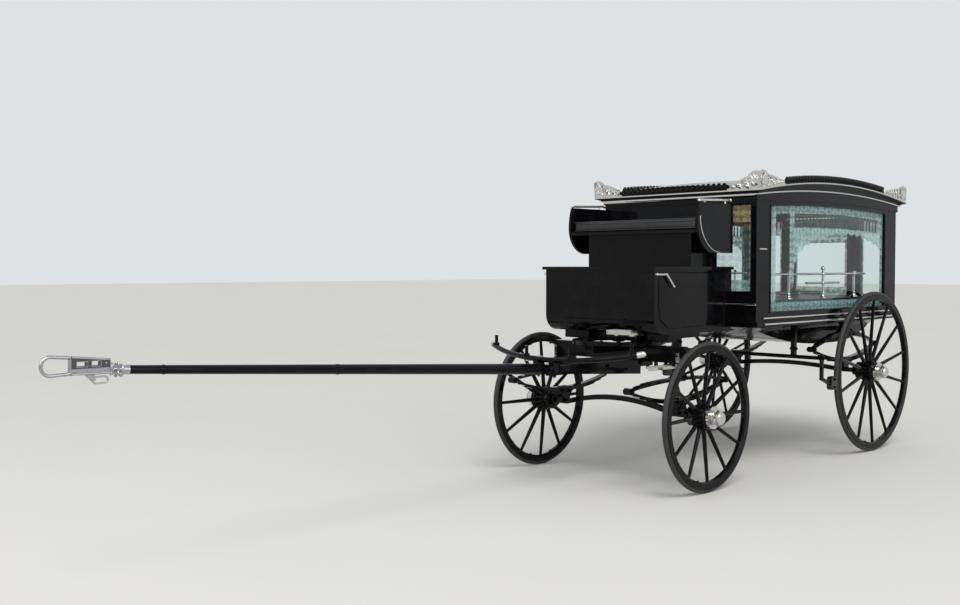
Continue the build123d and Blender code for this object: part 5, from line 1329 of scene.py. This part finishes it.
class HEARSE_OT_cushion(bpy.types.Operator):
    """Buttoned leather cushion of the driver's seat, with its welts and buttons"""

    bl_idname = "hearse.cushion"
    bl_label = "Driver's cushion"

    def execute(self, context):
        settings = soft_settings()
        low, high = (Vector(corner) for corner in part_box("seat_cushion"))
        # The pad starts smaller than the cushion, because it swells
        inset = Vector((0.012, 0.012, 0.0))
        start, stop = low + inset, high - inset - 0.022 * UP
        deselect()
        bpy.ops.mesh.primitive_cube_add(size=1.0, location=(start + stop) / 2, scale=stop - start)
        pad = context.object
        settle(pad)
        work(pad, "BEVEL", width=0.016, segments=3, limit_method="ANGLE")
        work(pad, "REMESH", mode="VOXEL", voxel_size=settings.cushion_voxel)
        buttons = button_points(start, stop)
        held = pad.vertex_groups.new(name="held")
        for vertex in pad.data.vertices:
            place = vertex.co
            if place.z < start.z + 0.004:
                held.add([vertex.index], 1.0, "REPLACE")
            elif place.z > stop.z - 0.004:
                near = min((place.xy - point.xy).length for point in buttons)
                if near < 0.010:
                    held.add([vertex.index], 1.0, "REPLACE")
                    vertex.co.z -= 0.014
        swollen(pad, settings.cushion_swell)
        for vertex in pad.data.vertices:
            place = vertex.co
            if place.z > stop.z - 0.03:
                seams = sorted((place.xy - point.xy).length for point in buttons)[:2]
                crease = max(0.0, 1.0 - (seams[1] - seams[0] + 0.3 * seams[0]) / 0.03)
                place.z -= 0.006 * crease
            place.x = min(max(place.x, low.x + 0.001), high.x - 0.001)
            place.y = min(max(place.y, low.y + 0.001), high.y - 0.001)
            place.z = min(max(place.z, low.z + 0.0003), high.z - 0.001)
        work(pad, "SUBSURF", levels=1, render_levels=1)
        face_outwards(pad)
        finished(pad, "driver_cushion", "leather", "carriage_body", 60.0)
        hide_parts("seat_cushion")

        welts = []
        for height in (start.z + 0.010, stop.z + 0.001):
            points = []
            for way_x, way_y in ((-1, -1), (1, -1), (1, 1), (-1, 1)):
                x = (stop.x if way_x > 0 else start.x) + way_x * 0.006
                y = (stop.y if way_y > 0 else start.y) + way_y * 0.006
                round_off = [(0.0, 0.022), (0.0066, 0.0066), (0.022, 0.0)]
                for back_x, back_y in (round_off if way_x == way_y else reversed(round_off)):
                    points.append(Vector((x - way_x * back_x, y - way_y * back_y, height)))
            welts.append(bar(points, 0.0042, closed=True))
        finished(joined(welts), "cushion_welts", "leather", "carriage_body", 60.0)
        places = []
        crown = [vertex.co for vertex in pad.data.vertices if vertex.co.z > stop.z - 0.03]
        for point in buttons:
            near = min(crown, key=lambda co: (co.xy - point.xy).length)
            places.append(pointing((point.x, point.y, near.z - 0.001), UP))
        finished(repeated(round_head(0.020, 0.006, 14), places), "cushion_buttons", "leather", "carriage_body", 60.0)
        return {"FINISHED"}


VALANCE_TOP = 1.856
VALANCE_BOTTOM = 1.768
# Half depth of the deepest fold that the CAD valance's thickness has room for
FOLD_ROOM = 0.0025


class HEARSE_OT_valance(bpy.types.Operator):
    """Pleated cloth valance inside each side window, with its braid and tassels"""

    bl_idname = "hearse.valance"
    bl_label = "Valance and tassels"

    def execute(self, context):
        settings = soft_settings()
        low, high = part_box("valance")
        rear, front = low[0] - REAR_X + 0.002, high[0] - REAR_X - 0.002
        outer = high[1] - 0.0012
        depth = min(settings.pleat_depth, FOLD_ROOM)
        count = round((front - rear) / settings.pleat_pitch)
        pitch = (front - rear) / count

        def hem(along):
            """Phase of the folds and height of the hem, which swings up between them."""
            phase = 2 * pi * (along - rear) / pitch
            return phase, arched(along, VALANCE_BOTTOM, SIDE_RISE) + 0.010 * (1 - abs(sin(phase / 2)))

        cloths, braids, tassel_places = [], [], []
        for side in (-1, 1):
            deselect()
            bpy.ops.mesh.primitive_grid_add(x_subdivisions=count * 10, y_subdivisions=8, size=1.0)
            cloth = context.object
            for vertex in cloth.data.vertices:
                along = rear + (vertex.co.x + 0.5) * (front - rear)
                share = vertex.co.y + 0.5
                phase, foot = hem(along)
                fold = depth * (1.0 - 0.6 * share) * cos(phase)
                rise = share * (arched(along, VALANCE_TOP, SIDE_RISE) - foot)
                vertex.co = at(along, side * (outer - 0.003 - depth + fold), foot + rise)
            cloth.name = f"valance_{'left' if side > 0 else 'right'}"
            work(cloth, "SOLIDIFY", thickness=0.0014, offset=0.0)
            face_outwards(cloth)
            cloths.append(cloth)
            points = []
            for index in range(count * 4 + 1):
                along = rear + (front - rear) * index / (count * 4)
                phase, foot = hem(along)
                points.append(at(along, side * (outer - 0.0032 - depth + depth * cos(phase)), foot + 0.002))
            braids.append(bar(points, 0.0022, sides=1))
            for index in range(count):
                along = rear + (index + 0.5) * pitch
                foot = arched(along, VALANCE_BOTTOM, SIDE_RISE)
                tassel_places.append(Matrix.Translation(at(along, side * (outer - 0.0095), foot + 0.002)))
        length = settings.tassel_length
        tassel = turned(
            [(0.0, 0.0), (0.0025, -0.001), (0.0025, -0.006), (0.0058, -0.008), (0.0066, -0.013), (0.0050, -0.017),
             (0.0058, -0.020), (0.0078, -length + 0.004), (0.0070, -length), (0.0, -length + 0.003)],
            segments=10,
        )
        tassels = finished(repeated(tassel, tassel_places), "valance_tassels", "cloth", "carriage_body", 50.0)
        braid = finished(joined(braids), "valance_braid", "cloth", "carriage_body", 50.0)
        for cloth, wall in zip(cloths, ("side_frame_right", "side_frame_left")):
            finished(cloth, cloth.name, "cloth", "carriage_body", 60.0)
            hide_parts("valance")
        return {"FINISHED"}


def hang(context, name, data, place, direction):
    """Set a light or a camera at a place, facing a direction."""
    holder = bpy.data.objects.new(name, data)
    context.collection.objects.link(holder)
    holder.location = place
    holder.rotation_euler = direction.to_track_quat("-Z", "Y").to_euler()
    return holder


class HEARSE_OT_stage(bpy.types.Operator):
    """Set the floor, the soft light and the camera"""

    bl_idname = "hearse.stage"
    bl_label = "Stage"

    def execute(self, context):
        settings = stage_settings()
        deselect()
        bpy.ops.mesh.primitive_plane_add(size=160.0, location=(0.0, 0.0, 0.0))
        floor = context.object
        floor.name = "studio_floor"
        material, tree, place = new_material("Rolled studio floor")
        shade = blend_colours(tree, noise(tree, place, 1400.0, 3.0), settings.floor_colour, "#cbc9c4")
        principled(material, {"Roughness": 0.9, "Specular IOR Level": 0.2}, {"Base Color": shade})
        floor.data.materials.append(material)

        world = bpy.data.worlds.new("Studio air")
        world.use_nodes = True
        tree = world.node_tree
        tree.nodes.clear()
        path = add_node(tree, "ShaderNodeLightPath").outputs
        shown = largest(tree, path["Is Camera Ray"], path["Is Transmission Ray"], path["Is Glossy Ray"])
        air = add_node(tree, "ShaderNodeBackground", {"Color": linear("#f3f6fa"), "Strength": settings.sky_strength})
        seen = add_node(tree, "ShaderNodeBackground", {"Color": linear(settings.backdrop_colour), "Strength": 1.0})
        mix = add_node(tree, "ShaderNodeMixShader", None, {0: shown, 1: air.outputs[0], 2: seen.outputs[0]})
        add_node(tree, "ShaderNodeOutputWorld", None, {"Surface": mix.outputs[0]})
        context.scene.world = world

        sun = bpy.data.lights.new("main_light", "SUN")
        sun.energy = settings.sun_strength
        sun.angle = settings.sun_spread
        hang(context, "main_light", sun, ORIGIN, Vector((-0.55, -0.75, -1.35)))
        for name, place, size in (
            ("near_panel", at(2.2, 9.0, 4.5), 6.0),
            ("front_panel", at(10.5, 0.5, 5.0), 5.0),
        ):
            lamp = bpy.data.lights.new(name, "AREA")
            lamp.size = size
            lamp.energy = settings.panel_power
            hang(context, name, lamp, place, at(0.9, 0.0, 1.1) - place)

        camera = bpy.data.cameras.new("camera")
        camera.sensor_width = 36.0
        camera.sensor_fit = "HORIZONTAL"
        camera.lens = settings.lens
        heading, dip = settings.camera_heading, settings.camera_dip
        look = Vector((cos(dip) * cos(heading), cos(dip) * sin(heading), -sin(dip)))
        context.scene.camera = hang(context, "camera", camera, at(*settings.camera_place), look)
        context.scene.view_settings.view_transform = "Standard"
        return {"FINISHED"}


STEPS = [
    HEARSE_OT_finishes,
    HEARSE_OT_wheels,
    HEARSE_OT_springs,
    HEARSE_OT_turntable,
    HEARSE_OT_pole,
    HEARSE_OT_brake,
    HEARSE_OT_beads,
    HEARSE_OT_ornaments,
    HEARSE_OT_crest,
    HEARSE_OT_treads,
    HEARSE_OT_fittings,
    HEARSE_OT_cushion,
    HEARSE_OT_valance,
    HEARSE_OT_stage,
]


class HEARSE_PT_panel(bpy.types.Panel):
    """Steps that dress the hearse"""

    bl_idname = "HEARSE_PT_panel"
    bl_label = "Glass Hearse"
    bl_space_type = "VIEW_3D"
    bl_region_type = "UI"
    bl_category = "Hearse"

    def draw(self, context):
        for step in STEPS:
            self.layout.operator(step.bl_idname)


GROUPS = {
    "hearse_stage": HearseStageSettings,
    "hearse_colours": HearseColours,
    "hearse_soft": HearseSoftSettings,
    "hearse_fasteners": HearseFastenerSettings,
}
CLASSES = list(GROUPS.values()) + STEPS + [HEARSE_PT_panel]


def register():
    for item in CLASSES:
        bpy.utils.register_class(item)
    for name, group in GROUPS.items():
        setattr(bpy.types.Scene, name, bpy.props.PointerProperty(type=group))


def unregister():
    for name in GROUPS:
        delattr(bpy.types.Scene, name)
    for item in reversed(CLASSES):
        bpy.utils.unregister_class(item)


def main():
    register()
    bpy.ops.hearse.finishes()
    bpy.ops.hearse.wheels()
    bpy.ops.hearse.springs()
    bpy.ops.hearse.turntable()
    bpy.ops.hearse.pole()
    bpy.ops.hearse.brake()
    bpy.ops.hearse.beads()
    bpy.ops.hearse.ornaments()
    bpy.ops.hearse.crest()
    bpy.ops.hearse.treads()
    bpy.ops.hearse.fittings()
    bpy.ops.hearse.cushion()
    bpy.ops.hearse.valance()
    bpy.ops.hearse.stage()


if __name__ == "__main__":
    main()
